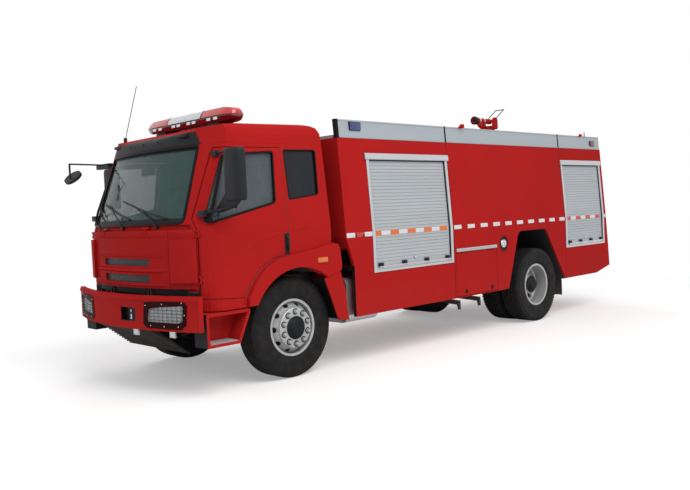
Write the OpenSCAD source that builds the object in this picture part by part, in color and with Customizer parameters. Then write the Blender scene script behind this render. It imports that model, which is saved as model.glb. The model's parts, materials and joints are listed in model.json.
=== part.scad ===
// Fire pump truck on a two-axle forward-control chassis: tilting cab with two doors,
// three-module superstructure with roller shutters, roof monitor, twin rear wheels.
// Front faces -Y, the vehicle's left is +X, z = 0 is the road. Millimetres.

/* [Overall] */
// bumper face to front axle
front_overhang = 1430; // [1425:1:1440]
// front axle to rear axle
wheelbase = 4500; // [4400:5:4600]
// rear axle to the rear face
rear_overhang = 2180; // [2100:5:2300]

/* [Wheels] */
// tyre outer radius
tyre_r = 525; // [515:1:528]
// tyre section width
tyre_w = 294; // [280:1:296]
// rim seat radius
rim_r = 291; // [286:0.5:293]
// front tyre centre from the middle of the truck
front_track_x = 965; // [960:1:968]
// outer rear tyre centre
rear_outer_x = 1090; // [1085:1:1094]
// inner rear tyre centre
rear_inner_x = 752; // [745:1:756]
// king pin inside the front tyre centre
kingpin_in = 135; // [131:1:139]
// king pin radius
kingpin_r = 22; // [18:0.5:24]
// hand holes in each wheel disc
hand_holes = 10; // [6:1:10]
// hand hole radius
hand_hole_r = 31; // [24:1:33]

/* [Chassis] */
// outer face of a frame rail from the middle
rail_x = 425; // [420:1:430]
// rail flange width
rail_w = 80; // [70:1:85]
// rail plate thickness
rail_t = 10; // [8:0.5:12]
// rail underside height
rail_z0 = 740; // [735:1:745]
// rail top height
rail_z1 = 1000; // [995:1:1004]
// leaf spring width
spring_w = 84; // [70:1:88]
// tie rod radius
tie_rod_r = 20; // [16:0.5:22]

/* [Front end] */
// bumper lower edge height
bumper_z0 = 648; // [640:1:655]
// bumper upper edge height
bumper_z1 = 982; // [975:1:988]
// bumper depth
bumper_t = 50; // [44:1:54]
// half width of the bumper
bumper_hw = 1200; // [1190:1:1206]
// sweep of the bumper ends behind its middle
bumper_sweep = 220; // [205:1:224]
// headlamp inner edge from the middle
lamp_x0 = 545; // [535:1:555]
// headlamp outer edge
lamp_x1 = 1040; // [1030:1:1045]

/* [Cab] */
// cab width at the doors
cab_w = 2400; // [2392:2:2404]
// length of the rounded nose
nose_depth = 400; // [390:1:405]
// nose front face from the front axle
nose_y = 1295; // [1290:1:1300]
// windscreen rake from upright
rake = 19.8; // [19:0.1:20.5]
// height where the windscreen rake starts
rake_z = 1600; // [1595:1:1605]
// rear wall of the cab from the front axle
cab_rear = 500; // [495:1:505]
// roof crown height
roof_z = 2662; // [2656:1:2668]
// rise of the roof edge to the rear, in degrees
roof_rise = 1.4; // [0:0.1:1.8]
// roof joint height
gutter_z = 2425; // [2422:1:2430]
// wall thickness of the cab
cab_wall = 60; // [52:1:62]
// floor underside height
floor_z = 1180; // [1176:1:1184]
// front wheel arch radius
arch_r = 630; // [625:1:634]
// sill underside height
sill_z = 820; // [818:1:824]
// wheel arch fender beyond the cab side
flare_out = 45; // [40:1:48]

/* [Doors and panels] */
// door thickness
door_t = 70; // [62:1:72]
// gap round a door or panel
panel_gap = 6; // [5.5:0.5:7]
// half width of the front panel
hood_hw = 735; // [728:1:738]
// front panel lower edge
hood_z0 = 1035; // [1030:1:1040]
// front panel upper edge
hood_z1 = 1604; // [1600:1:1605]
// front panel thickness
hood_t = 44; // [36:1:46]

/* [Superstructure] */
// width at the lower side
body_w = 2490; // [2480:2:2494]
// skirt lower edge height
skirt_z = 540; // [535:1:545]
// height of the bend in the side
bend_z = 1440; // [1430:1:1450]
// inward lean above the bend, per unit of height
lean = 0.07; // [0.066:0.001:0.074]
// roof deck height
deck_z = 2510; // [2505:1:2515]
// parapet top height
parapet_z = 2712; // [2705:1:2716]
// wall thickness
body_wall = 45; // [40:1:48]
// body floor underside height
body_floor_z = 1050; // [1048:1:1052]
// front face from the front axle
body_y0 = 680; // [676:1:684]
// rear axle to the seam in front of the tank module
tank_front = 1927; // [1915:1:1935]
// rear axle to the seam behind the tank module
tank_rear = 798; // [794:1:810]
// gap at a module seam
seam_gap = 8; // [6:1:10]

/* [Shutters] */
// shutter lower edge height
shutter_z0 = 1000; // [996:1:1004]
// slat height
slat_h = 38; // [34:1:42]
// depth of the groove between slats
slat_groove = 5; // [3:0.5:6]
// guide rail width
guide_w = 45; // [40:1:48]
// header height
header_h = 50; // [46:1:54]
// bottom bar height
bar_h = 80; // [70:1:84]

/* [Monitor] */
// column centre behind the rear axle
monitor_back = 740; // [725:1:745]
// column radius
column_r = 55; // [48:1:58]
// elevation axis above the roof deck
trunnion_h = 520; // [480:1:560]
// barrel radius
barrel_r = 42; // [38:0.5:43]
// barrel length ahead of the elevation axis
barrel_len = 340; // [320:5:350]

/* [Fits] */
// play between a pin and its bore
pin_play = 0.6; // [0.5:0.1:1]
// clearance between turning faces
run_gap = 6; // [5.5:0.5:7]
// radius of a panel hinge pin
hinge_r = 4.5; // [3.5:0.5:5]
// radius of a panel hinge barrel
barrel_hinge_r = 9; // [8:0.5:9.5]
// radius of a cab tilt pin
tilt_r = 14; // [11:0.5:16]
// tow pin hole radius
tow_hole_r = 20; // [16:0.5:22]

/* [Hidden] */
$fn = 48;

red = [0.72, 0.06, 0.07];
dark_red = [0.55, 0.04, 0.05];
silver = [0.75, 0.76, 0.78];
black = [0.06, 0.06, 0.065];
steel = [0.35, 0.35, 0.37];
glass = [0.45, 0.55, 0.53, 0.5];
lens_red = [0.8, 0.05, 0.06, 0.8];

// front axle in the part's frame, and the rear face from the front axle
overall_len = front_overhang + wheelbase + rear_overhang;
y_fa = front_overhang - overall_len / 2;
rear_y = wheelbase + rear_overhang;
// module seams and what follows them, from the front axle
seam_a = wheelbase - tank_front;
seam_b = wheelbase + tank_rear;
flap_y0 = seam_a + 32;
flap_y1 = seam_a + 922;
filler_y = seam_a + 1087;
monitor_y = wheelbase + monitor_back;
trunnion_z = deck_z + trunnion_h;
// further out than any piece
far = 3000;
axle_z = tyre_r;
kingpin_x = front_track_x - kingpin_in;
rail_in = rail_x - rail_w;
body_hw = body_w / 2;
cab_hw = cab_w / 2;
y_nose = -nose_y;
// front seat centre from the middle
seat_x = cab_hw - 580;
// door hinge axis, at the front edge of the door skin
door_y = -1083;
function nose_x(y, t) = (cab_hw - t) * sqrt(1 - pow((y - y_nose - nose_depth) / (nose_depth - t), 2));
door_axis = [nose_x(door_y, 0) + 12.8, door_y];
// room around the hinge line for the inner front edge of the door
door_swing = door_axis[0] - nose_x(door_y + 7, door_t) + 14;
// cab tilt axis
tilt_axis = [-1200, 1000];
// front panel hinge axis
hood_axis = [-1275, 1628];
// middle of each hinge along its axis
door_hinges = [1120, 1560];
hood_hinges = [-430, 430];
flap_hinges = [flap_y0 + 155, flap_y1 - 155];
// side flap hinge axis
flap_axis = [body_hw - 5, 1110];
// steering arm ball joint from the king pin
ball_dy = 205;

// moves from the front axle frame to the part's frame
module place() {
    translate([0, y_fa, 0]) children();
}

// solid from x0 to x1 of an outline drawn in (y, z)
module side(x0, x1) {
    translate([x0, 0, 0]) rotate([90, 0, 90]) linear_extrude(height = x1 - x0) children();
}

// solid from y0 to y1 of an outline drawn in (x, z)
module across(y0, y1) {
    translate([0, y1, 0]) rotate([90, 0, 0]) linear_extrude(height = y1 - y0) children();
}

module box(x0, x1, y0, y1, z0, z1) {
    translate([x0, y0, z0]) cube([x1 - x0, y1 - y0, z1 - z0]);
}

module both() {
    children();
    mirror([1, 0, 0]) children();
}

module rod(p, q, r) {
    d = q - p;
    l = norm(d);
    translate(p) rotate([0, acos(d[2] / l), atan2(d[1], d[0])]) cylinder(h = l, r = r);
}

// cylinder along x
module xcyl(x0, x1, y, z, r) {
    translate([x0, y, z]) rotate([0, 90, 0]) cylinder(h = x1 - x0, r = r);
}

// cylinder along y
module ycyl(y0, y1, x, z, r) {
    translate([x, y0, z]) rotate([-90, 0, 0]) cylinder(h = y1 - y0, r = r);
}

// outline moved g towards a centre in both directions
function shrink(pts, c, g) = [for (p = pts) [p[0] - sign(p[0] - c[0]) * g, p[1] - sign(p[1] - c[1]) * g]];

// rounded rectangle outline
function round_rect(x0, x1, y0, y1, r) = [
    for (k = [[x1 - r, y1 - r, 0], [x0 + r, y1 - r, 90], [x0 + r, y0 + r, 180], [x1 - r, y0 + r, 270]])
        for (i = [0:4]) [k[0] + r * cos(k[2] + 22.5 * i), k[1] + r * sin(k[2] + 22.5 * i)]
];

// half outline mirrored about the middle
function mirrored(h) = concat(h, [for (i = [len(h) - 1:-1:0]) [-h[i][0], h[i][1]]]);

// cab outlines, each inset by t
function nose(t) = concat([[cab_hw - t, 2500], [-cab_hw + t, 2500]], [
    for (i = [0:28]) let (u = 180 * i / 28)
        [-(cab_hw - t) * cos(u), y_nose + nose_depth - (nose_depth - t) * sin(u)]
]);
roof_pts = [
    [-1500, 640], [-1000, 195], [-930, 135], [-840, 85], [-700, 50], [-450, 18], [-150, 0],
    [250, 4], [400, 18], [465, 50], [495, 110], [500, 200]
];
function roof_line(t) = concat(
    [for (p = roof_pts) [p[0] + (p[0] > 300 ? cab_rear - 500 - t : 0), roof_z - p[1] - t]],
    [[cab_rear - t, 600], [-1600, 600]]
);
cab_half = [
    [0, 600], [0, 1550], [95, 2420], [108, 2520], [130, 2575], [170, 2610], [240, 2632], [450, 2650],
        [800, 2660], [1100, 2664]
];
function cab_section(t) = mirrored([for (p = cab_half) [cab_hw - p[0] - t, p[1] - (p[1] > 2450 ? t : 0)]]);

module cab_solid(t) {
    intersection() {
        translate([0, 0, 650]) linear_extrude(height = 2200) polygon(nose(t));
        translate([0, y_nose, rake_z]) rotate([-rake, 0, 0]) translate([0, -y_nose, -1400])
            linear_extrude(height = 3000) polygon(nose(t));
        side(-far, far) polygon(roof_line(t));
        // section leaned back, so that the roof edge rises to the rear
        translate([0, -450, 1550]) rotate([roof_rise, 0, 0]) translate([0, 450, -1550])
            across(-1600, 900) polygon(cab_section(t));
    }
}

// skin between two insets
module cab_skin(t0, t1) {
    difference() {
        cab_solid(t0);
        cab_solid(t1);
    }
}

// door opening in the side of the cab, and the door inside it
door_hole = [
    [-1085, 938], [-672, 914], [-560, 1075], [-440, 1195], [-290, 1268], [-114, 1300], [-80, 1306],
        [-80, 1534],
    [-75, 1827], [-75, 2390], [-826, 2378], [-858, 2304], [-1085, 1700]
];
door_mid = [-700, 1650];
window_hole = [[-1030, 1672], [-1012, 1655], [-980, 1655], [-240, 1816], [-212, 1842], [-175, 2330],
    [-193, 2350], [-770, 2318], [-802, 2290]];
quarter_hole = [[-42, 1866], [-22, 1850], [355, 1893], [378, 1915], [400, 2356], [380, 2374],
    [-28, 2368], [-46, 2350]];
screen_hole = mirrored([
    [cab_hw - 360, 1650], [cab_hw - 310, 1665], [cab_hw - 295, 1710], [cab_hw - 342, 2400],
        [cab_hw - 365, 2419]
]);
rear_hole = [-560, 560, 1790, 2290];

// wheel arch fender outline on the side of the cab
flare_pts = [
    [-655, 830], [-655, 909], [-552, 1066], [-435, 1184], [-288, 1257], [-114, 1288], [200, 1325],
        [490, 1375],
    [555, 1360], [580, 1322], [602, 1142], [592, 1078], [330, 1004], [0, 900], [-400, 830]
];

// outer face of the superstructure side at a height
function side_x(z) = body_hw - (z > bend_z ? lean * (z - bend_z) : 0);

// band that follows the superstructure side between two depths
module band(y0, y1, z0, z1, d0, d1) {
    across(y0, y1) polygon([
        [side_x(z0) - d0, z0], [side_x(bend_z) - d0, bend_z], [side_x(z1) - d0, z1],
        [side_x(z1) - d1, z1], [side_x(bend_z) - d1, bend_z], [side_x(z0) - d1, z0]
    ]);
}

module body_section(y0, y1, d, z0, z1) {
    across(y0, y1) polygon(mirrored([[side_x(z0) - d, z0], [side_x(bend_z) - d, bend_z],
        [side_x(z1) - d, z1]]));
}

// side shutters: front edge, rear edge, top
SH_Y0 = 0;
SH_Y1 = 1;
SH_Z1 = 2;
side_shutters = [[body_y0 + 415, seam_a - 23, 2335], [seam_b + 14, rear_y - 160, 2312]];
rear_shutter_hw = 620;
rear_wall_y = rear_y - 80;

// slat face outline of a shutter, as (depth, z) pairs
function slats(z0, z1) = let (n = floor((z1 - z0) / slat_h), p = (z1 - z0) / n) [
    for (i = [0:n - 1]) for (k = [[slat_groove, 0], [0, 3.5], [0, p - 3.5], [slat_groove, p - 0.5]])
        [k[0], z0 + i * p + k[1]]
];

// tyre section, as (radius, offset) pairs
function tyre_pts(w) = [
    [rim_r, -0.36 * w], [rim_r, 0.36 * w], [rim_r + 12, 0.36 * w],
        [rim_r + 0.2 * (tyre_r - rim_r), 0.47 * w],
    [rim_r + 0.48 * (tyre_r - rim_r), 0.5 * w], [tyre_r - 45, 0.475 * w], [tyre_r - 14, 0.425 * w],
        [tyre_r, 0.35 * w],
    [tyre_r, -0.35 * w], [tyre_r - 14, -0.425 * w], [tyre_r - 45, -0.475 * w],
    [rim_r + 0.48 * (tyre_r - rim_r), -0.5 * w], [rim_r + 0.2 * (tyre_r - rim_r), -0.47 * w],
        [rim_r + 12, -0.36 * w]
];

module tyre_at(x) {
    translate([x, 0, axle_z]) rotate([0, 90, 0]) rotate_extrude() polygon(tyre_pts(tyre_w));
}

// revolved about the wheel axis, outline as (radius, x from the middle of the truck)
module wheel_turned() {
    translate([0, 0, axle_z]) rotate([0, 90, 0]) rotate_extrude() children();
}

module hand_hole_ring(x0, x1, pcr) {
    for (i = [0:hand_holes - 1])
        translate([0, 0, axle_z]) rotate([360 / hand_holes * i, 0, 0]) translate([x0, 0, pcr])
            rotate([0, 90, 0])
            cylinder(h = x1 - x0, r = hand_hole_r);
}

// rim well with both lips, centred on x
function rim_pts(x) = [
    [rim_r - 18, x - 104], [rim_r - 18, x - 122], [rim_r + 8, x - 125], [rim_r + 8, x - 112],
        [rim_r, x - 108], [rim_r, x + 108],
    [rim_r + 8, x + 112], [rim_r + 8, x + 125], [rim_r - 18, x + 122], [rim_r - 18, x + 104]
];

module front_wheel() {
    x = front_track_x;
    difference() {
        union() {
            wheel_turned() polygon(rim_pts(x));
            // bulged disc
            wheel_turned() polygon([
                [rim_r - 10, x + 40], [rim_r - 10, x + 52], [258, x + 66], [235, x + 98], [205, x + 118],
                    [180, x + 126],
                [118, x + 126], [118, x + 112], [176, x + 112], [200, x + 104], [226, x + 86], [250, x + 50]
            ]);
            // hub, flange and brake drum
            wheel_turned() polygon([
                [0, x + 70], [0, x + 176], [70, x + 176], [82, x + 166], [96, x + 140], [118, x + 132],
                    [118, x + 112],
                [172, x + 112], [172, x + 96], [206, x + 88], [206, x - 97], [186, x - 97],
                    [186, x + 70], [130, x + 70],
                [110, x - 30], [46 + pin_play, x - 30], [46 + pin_play, x + 70]
            ]);
        }
        hand_hole_ring(x + 20, x + 140, 226);
    }
}

module rear_wheels() {
    difference() {
        union() {
            for (k = [[rear_outer_x, 1], [rear_inner_x, -1]]) {
                x = k[0];
                mid = (rear_outer_x + rear_inner_x) / 2 + 3 * k[1];
                wheel_turned() polygon(rim_pts(x));
                // dished disc down to the hub flange
                wheel_turned() polygon([
                    [rim_r - 10, x - 62 * k[1]], [rim_r - 10, x - 48 * k[1]], [256, x - 60 * k[1]],
                        [226, mid + 52 * k[1]],
                    [196, mid + 22 * k[1]], [176, mid + 14 * k[1]], [140, mid + 14 * k[1]], [140, mid],
                        [182, mid],
                    [206, mid + 8 * k[1]], [240, mid + 40 * k[1]], [262, x - 78 * k[1]]
                ]);
            }
        }
        hand_hole_ring(rear_inner_x - 110, rear_outer_x + 110, 226);
    }
    // hub with brake drum, bored for the axle end
    x = rear_outer_x;
    wheel_turned() polygon([
        [0, x - 260], [0, x + 75], [66, x + 75], [84, x + 60], [92, x + 30], [138, x - 10],
            [138, x - 390], [205, x - 400],
        [205, x - 450], [52 + pin_play, x - 450], [52 + pin_play, x - 260]
    ]);
}

module knuckle() {
    z = axle_z;
    difference() {
        union() {
            // fork above and below the axle eye
            for (k = [[z + 60 + run_gap, z + 112], [z - 112, z - 60 - run_gap]])
                translate([kingpin_x, 0, k[0]]) {
                    cylinder(h = k[1] - k[0], r = 48);
                    translate([0, -48, 0]) cube([92, 96, k[1] - k[0]]);
                }
            box(kingpin_x + 66, kingpin_x + 92, -48, 48, z - 112, z + 112);
            translate([kingpin_x, 0, z - 112]) cylinder(h = 224, r = kingpin_r);
            // stub axle
            xcyl(kingpin_x + 80, front_track_x + 63, 0, z, 46);
            // steering arm
            box(kingpin_x - 26, kingpin_x + 20, 30, ball_dy + 26, z - 112, z - 84);
            translate([kingpin_x, ball_dy, z - 100]) cylinder(h = 62, r = 12);
        }
    }
}

module chassis_frame() {
    color(black) place() difference() {
        union() {
            both() difference() {
                union() {
                    box(rail_in, rail_x, -1120, rear_y - 240, rail_z0, rail_z1);
                    box(rail_in, rail_x, -1360, -1110, rail_z0 - 30, 900);
                }
                box(rail_in - 5, rail_x - rail_t, -1100, rear_y, rail_z0 + rail_t, rail_z1 - rail_t);
                bumper_slab(0, 1);
            }
            // cross members
            for (y = [-1080, 1560, seam_a + 127, wheelbase - 740, wheelbase + 700, rear_y - 290])
                box(-rail_x + 2, rail_x - 2, y - 40, y + 40, rail_z0 + 120, rail_z1 - 20);
            // subframe under the superstructure
            both() box(rail_in, rail_x, 700, rear_y - 240, rail_z1 - 1, body_floor_z);
            // rear tow jaw
            for (z = [850, 940]) box(-110, 110, rear_y - 255, rear_y - 120, z, z + 30);
            // front tow jaw behind the opening in the bumper
            for (z = [745, 815]) box(130, 250, -1330, -1115, z, z + 20);
            box(-rail_in - 5, rail_in + 5, -1130, -1095, 745, 900);
        }
        translate([0, rear_y - 170, 840]) cylinder(h = 150, r = tow_hole_r);
        translate([190, -1285, 700]) cylinder(h = 200, r = tow_hole_r);
    }
}

module cab_mounts() {
    color(black) place() both() {
        // rear rests
        box(rail_in, rail_x, cab_rear - 170, cab_rear - 100, rail_z1, floor_z - run_gap - 2);
        // front tilt brackets and pins
        for (x = [rail_in, rail_in + 52]) side(x, x + 13) polygon([
            [tilt_axis[0] - 40, 900], [tilt_axis[0] + 76, 900], [tilt_axis[0] + 60, 960],
                [tilt_axis[0] + 28, tilt_axis[1] + 28],
            [tilt_axis[0] - 28, tilt_axis[1] + 28], [tilt_axis[0] - 40, 960]
        ]);
        xcyl(rail_in, rail_in + 65, tilt_axis[0], tilt_axis[1], tilt_r);
    }
}

module front_axle() {
    z = axle_z;
    x = kingpin_x - 25;
    color(black) place() difference() {
        union() {
            across(-46, 46) polygon([
                [-x, z - 60], [115 - x, z - 60], [245 - x, z - 135], [x - 245, z - 135],
                    [x - 115, z - 60], [x, z - 60],
                [x, z + 60], [x - 115, z + 60], [x - 245, z - 15], [245 - x, z - 15], [115 - x, z + 60],
                    [-x, z + 60]
            ]);
            both() translate([kingpin_x, 0, z - 60]) cylinder(h = 120, r = 54);
        }
        both() translate([kingpin_x, 0, z - 80]) cylinder(h = 160, r = kingpin_r + pin_play);
        // I-section side recesses
        for (k = [[-60, -18], [18, 60]]) box(265 - x, x - 265, k[0], k[1], z - 112, z - 38);
    }
}

module rear_axle() {
    z = axle_z;
    color(black) place() translate([0, wheelbase, 0]) {
        both() xcyl(0, rear_outer_x - 460, 0, z, 72);
        both() xcyl(0, rear_outer_x - 275, 0, z, 52);
        // differential casing, turned about the drive line
        translate([0, 0, z]) rotate([90, 0, 0]) rotate_extrude()
            polygon([[0, -160], [110, -150], [185, -70], [200, 0], [185, 70], [120, 130], [95, 160],
                [95, 300], [0, 300]]);
    }
}

// leaf pack outline: arc ends up by rise, as (y, z) pairs
function leaf_pts(l, z0, t, rise) = concat(
    [for (i = [-6:6]) [l * i / 6, z0 + rise * pow(abs(i) / 6, 2)]],
    [for (i = [6:-1:-6]) [l * i / 6, z0 + rise * pow(abs(i) / 6, 2) + 22 + (t - 22) * pow(1 - abs(i) / 6,
        0.7)]]
);

module leaf_springs() {
    color(black) place() both() {
        for (k = [[0, 760, axle_z - 15, 70, 175], [wheelbase, 800, axle_z + 72, 90, 90]])
            translate([0, k[0], 0]) difference() {
                union() {
                    side(rail_in - 2, rail_in - 2 + spring_w) polygon(leaf_pts(k[1], k[2], k[3], k[4]));
                    // hangers up to the rail
                    for (s = [-1, 1]) box(rail_in + 5, rail_in + 65, s * k[1] - 35, s * k[1] + 35,
                        k[2] + k[4] - 12, rail_z0);
                }
            }
    }
}

module engine() {
    color(steel) place() {
        box(-300, 300, -780, cab_rear - cab_wall - 45, 640, 1290);
        box(-190, 190, cab_rear - cab_wall - 50, 1150, 660, 960);
        // mounts to the rails
        both() box(295, rail_x - rail_t, -300, -200, 800, 900);
        both() box(185, rail_x - rail_t, 800, 880, 800, 880);
    }
}

module propeller_shaft() {
    color(steel) place() {
        ycyl(1150, 1210, 0, 790, 66);
        rod([0, 1200, 787], [0, wheelbase - 350, axle_z + 3], 48);
        ycyl(wheelbase - 360, wheelbase - 300, 0, axle_z, 62);
    }
}

module chassis_tanks() {
    color(silver) place() both() {
        across(body_y0 + 60, body_y0 + 550) polygon(round_rect(640, body_hw - 95, 465, 965, 90));
        for (y = [body_y0 + 150, body_y0 + 450]) box(rail_x, 650, y - 30, y + 30, 790, 870);
        // air reservoirs
        ycyl(seam_a - 823, seam_a - 63, rail_x + 115, 610, 100);
        for (y = [seam_a - 673, seam_a - 223]) box(rail_x, rail_x + 125, y - 20, y + 20, 690, 790);
    }
}

// swept bumper slab, from depth d0 to the full depth times d1
module bumper_slab(d0, d1) {
    n = 24;
    f = [for (i = [0:n]) let (x = -bumper_hw + 2 * bumper_hw * i / n) [x,
        -front_overhang + bumper_sweep * pow(x / bumper_hw, 2)]];
    translate([0, 0, bumper_z0]) linear_extrude(height = bumper_z1 - bumper_z0)
        polygon(concat([for (p = f) [p[0], p[1] + d0]], [for (i = [n:-1:0]) [f[i][0],
            f[i][1] + bumper_t * d1]]));
}

module lamp_block() {
    both() box(lamp_x0, lamp_x1, -1500, -1000, 700, 912);
}

module bumper() {
    color(red) place() difference() {
        bumper_slab(0, 1);
        lamp_block();
        box(112, 292, -1500, -1300, 725, 860);
    }
}

module lamps() {
    color([0.85, 0.87, 0.9]) place() intersection() {
        bumper_slab(8, 1);
        lamp_block();
    }
    // tail lamps in the lower rear corners
    color(lens_red) place() both() box(body_hw - 415, body_hw - 75, rear_y - 40, rear_y - 12, 700, 830);
}

module chassis_fenders() {
    color(red) place() both() {
        // entry step box, open to the side
        difference() {
            union() {
                side(cab_hw - 190, cab_hw + 22) polygon([[-1145, 490], [-770, 490], [-640, 770],
                    [-640, sill_z - 10], [-1145, sill_z - 10]]);
                box(rail_x, cab_hw - 180, -1010, -930, 745, 800);
            }
            side(cab_hw - 160, far) polygon([[-1115, 520], [-790, 520], [-672, 776], [-672, sill_z - 40],
                [-1115, sill_z - 40]]);
        }
        // guard behind the front wheel
        difference() {
            union() {
                side(cab_hw - 270, cab_hw + 35) polygon([[335, 985], [588, 1054], [620, 880], [688, 520],
                    [520, 556], [300, 800]]);
                xcyl(rail_x, cab_hw - 260, 625, 800, 18);
            }
            xcyl(cab_hw - 300, far, 0, axle_z, arch_r - 12);
        }
    }
}

module mud_flaps() {
    color(black) place() both() difference() {
        box(625, body_hw - 20, wheelbase + 678, wheelbase + 690, 300, 720);
        side(600, far) polygon(tank_side());
    }
}

// side outline of the tank module with its wheel arch, as (y, z) pairs
function tank_side() = let (c = wheelbase) concat(
    [[seam_b - seam_gap / 2, skirt_z], [seam_b - seam_gap / 2, deck_z], [seam_a + seam_gap / 2, deck_z],
        [seam_a + seam_gap / 2, skirt_z]],
    [[c - 768, skirt_z], [c - 520, 1230], [c - 500, 1275], [c - 460, 1310], [c - 410, 1320],
     [c + 170, 1320], [c + 220, 1310], [c + 260, 1275], [c + 286, 1230], [c + 742, skirt_z]]
);

module tunnel(hw) {
    box(-hw, hw, 0, 8000, 0, body_floor_z);
}

module body_front() {
    y1 = seam_a - seam_gap / 2;
    color(red) place() difference() {
        intersection() {
            body_section(body_y0, y1, 0, skirt_z, deck_z);
            side(-far, far) polygon([[body_y0, 1420], [body_y0 + 110, 1100], [body_y0 + 110, skirt_z],
                [y1, skirt_z], [y1, deck_z], [body_y0, deck_z]]);
        }
        tunnel(700);
        body_section(body_y0 + body_wall, y1 - body_wall, body_wall, body_floor_z + body_wall,
            deck_z - body_wall);
        // lockers beside the frame, and room for the tanks
        both() box(745, body_hw - body_wall, body_y0 + 620, y1 - body_wall, skirt_z + body_wall,
            body_floor_z + 60);
        both() box(600, body_hw - body_wall, body_y0 - 80, body_y0 + 575, 300, body_floor_z);
        both() shutter_cut(0);
    }
}

module shutter_cut(i) {
    s = side_shutters[i];
    band(s[SH_Y0], s[SH_Y1], shutter_z0, s[SH_Z1], -20, body_wall + 20);
}

module body_tank() {
    y0 = seam_a + seam_gap / 2;
    y1 = seam_b - seam_gap / 2;
    color(red) place() {
        both() for (y = flap_hinges) {
            for (k = [y - 50, y + 38]) {
                box(body_hw - 37, flap_axis[0], k, k + 12, flap_axis[1] - 8, flap_axis[1] + 8);
                translate([flap_axis[0], k, flap_axis[1]]) rotate([-90, 0, 0])
                    cylinder(h = 12, r = barrel_hinge_r);
            }
            translate([flap_axis[0], y - 50, flap_axis[1]]) rotate([-90, 0, 0])
                cylinder(h = 100, r = hinge_r);
        }
        tank_module(y0, y1);
    }
}

module tank_module(y0, y1) {
    difference() {
        intersection() {
            body_section(y0, y1, 0, skirt_z, deck_z);
            union() {
                side(-far, far) polygon(tank_side());
                box(-590, 590, y0, y1, body_floor_z, 1400);
            }
        }
        tunnel(560);
        both() {
            // side locker behind the flap, and the seat of the flap
            box(body_hw - 36, body_hw + 5, flap_y0, flap_y1, 552, 1126);
            box(740, body_hw, flap_y0 + 35, flap_y1 - 35, 590, 1080);
            // filler recess
            xcyl(body_hw - 70, body_hw + 5, filler_y, 1168, 104);
        }
    }
}

module body_rear() {
    y0 = seam_b + seam_gap / 2;
    color(red) place() difference() {
        intersection() {
            body_section(y0, rear_y, 0, skirt_z, deck_z);
            side(-far, far) polygon([
                [y0, skirt_z], [rear_y - 446, skirt_z], [rear_y, 633], [rear_y - 25, 955],
                    [rear_wall_y, bend_z],
                [rear_wall_y, deck_z], [y0, deck_z]
            ]);
        }
        tunnel(560);
        body_section(y0 + body_wall, rear_wall_y - body_wall, body_wall, body_floor_z + body_wall,
            deck_z - body_wall);
        both() box(600, body_hw - body_wall, y0 + body_wall, rear_y - 500, skirt_z + body_wall,
            body_floor_z + 60);
        both() shutter_cut(1);
        box(-rear_shutter_hw, rear_shutter_hw, rear_wall_y - 120, rear_y + 10, body_floor_z + body_wall,
            2300);
        both() box(body_hw - 415, body_hw - 75, rear_y - 40, rear_y + 10, 700, 830);
    }
}

module parapets() {
    color(silver) place() {
        both() for (k = [[body_y0 + 10, seam_a - 4], [seam_a + 4, seam_b - 4],
            [seam_b + 4, rear_wall_y - 15]])
            across(k[0], k[1]) polygon([
                [side_x(deck_z), deck_z], [side_x(parapet_z), parapet_z],
                    [side_x(parapet_z) - 45, parapet_z], [side_x(deck_z) - 40, deck_z]
            ]);
        // front roll across the deck
        box(85 - side_x(deck_z), side_x(deck_z) - 85, body_y0 + 12, body_y0 + 70, deck_z, deck_z + 36);
    }
}

module shutter_frames() {
    color(silver) place() {
        both() for (s = side_shutters) difference() {
            band(s[SH_Y0], s[SH_Y1], shutter_z0, s[SH_Z1], -8, 60);
            band(s[SH_Y0] + guide_w, s[SH_Y1] - guide_w, shutter_z0 + 30, s[SH_Z1] - header_h, -30, 90);
        }
        difference() {
            box(-rear_shutter_hw, rear_shutter_hw, rear_wall_y - 60, rear_wall_y,
                body_floor_z + body_wall, 2300);
            box(-rear_shutter_hw + guide_w, rear_shutter_hw - guide_w, rear_wall_y - 70,
                rear_wall_y + 10, body_floor_z + body_wall + 30, 2300 - header_h);
        }
    }
}

module shutters() {
    color(silver) place() {
        both() for (s = side_shutters) {
            z0 = shutter_z0 + 30;
            zb = z0 + bar_h;
            z1 = s[SH_Z1] - header_h;
            // slatted curtain above its bottom bar
            across(s[SH_Y0] + guide_w, s[SH_Y1] - guide_w) polygon(concat(
                [[side_x(z0) - 4, z0], [side_x(z0) - 4, zb]],
                [for (p = slats(zb + 1, z1)) [side_x(p[1]) - 10 - p[0], p[1]]],
                [[side_x(z1) - 28, z1], [side_x(bend_z) - 28, bend_z], [side_x(z0) - 28, z0]]
            ));
        }
        // rear curtain
        z0 = body_floor_z + body_wall + 30;
        z1 = 2300 - header_h;
        side(-rear_shutter_hw + guide_w, rear_shutter_hw - guide_w) polygon(concat(
            [[rear_wall_y - 4, z0], [rear_wall_y - 4, z0 + bar_h]],
            [for (p = slats(z0 + bar_h + 1, z1)) [rear_wall_y - 10 - p[0], p[1]]],
            [[rear_wall_y - 28, z1], [rear_wall_y - 28, z0]]
        ));
    }
}

module rear_ladder() {
    y = rear_y - 32;
    x0 = -body_hw + 205;
    x1 = x0 + 320;
    top = deck_z + 250;
    color(silver) place() {
        for (x = [x0, x1]) {
            rod([x, y, 1500], [x, y, top], 17);
            for (z = [1540, 2150, 2460]) rod([x, rear_wall_y, z], [x, y, z], 13);
            rod([x, y, top], [x, y - 180, top], 17);
            rod([x, y - 180, top], [x, y - 180, deck_z], 17);
        }
        for (i = [0:4]) rod([x0, y, 1560 + 280 * i], [x1, y, 1560 + 280 * i], 13);
    }
}

module rear_guard() {
    color(black) place() {
        box(-545, 545, rear_y - 310, rear_y - 210, 560, 660);
        both() box(rail_in + 5, rail_x - 5, rear_y - 320, rear_y - 244, 580, rail_z0);
    }
}

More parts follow.
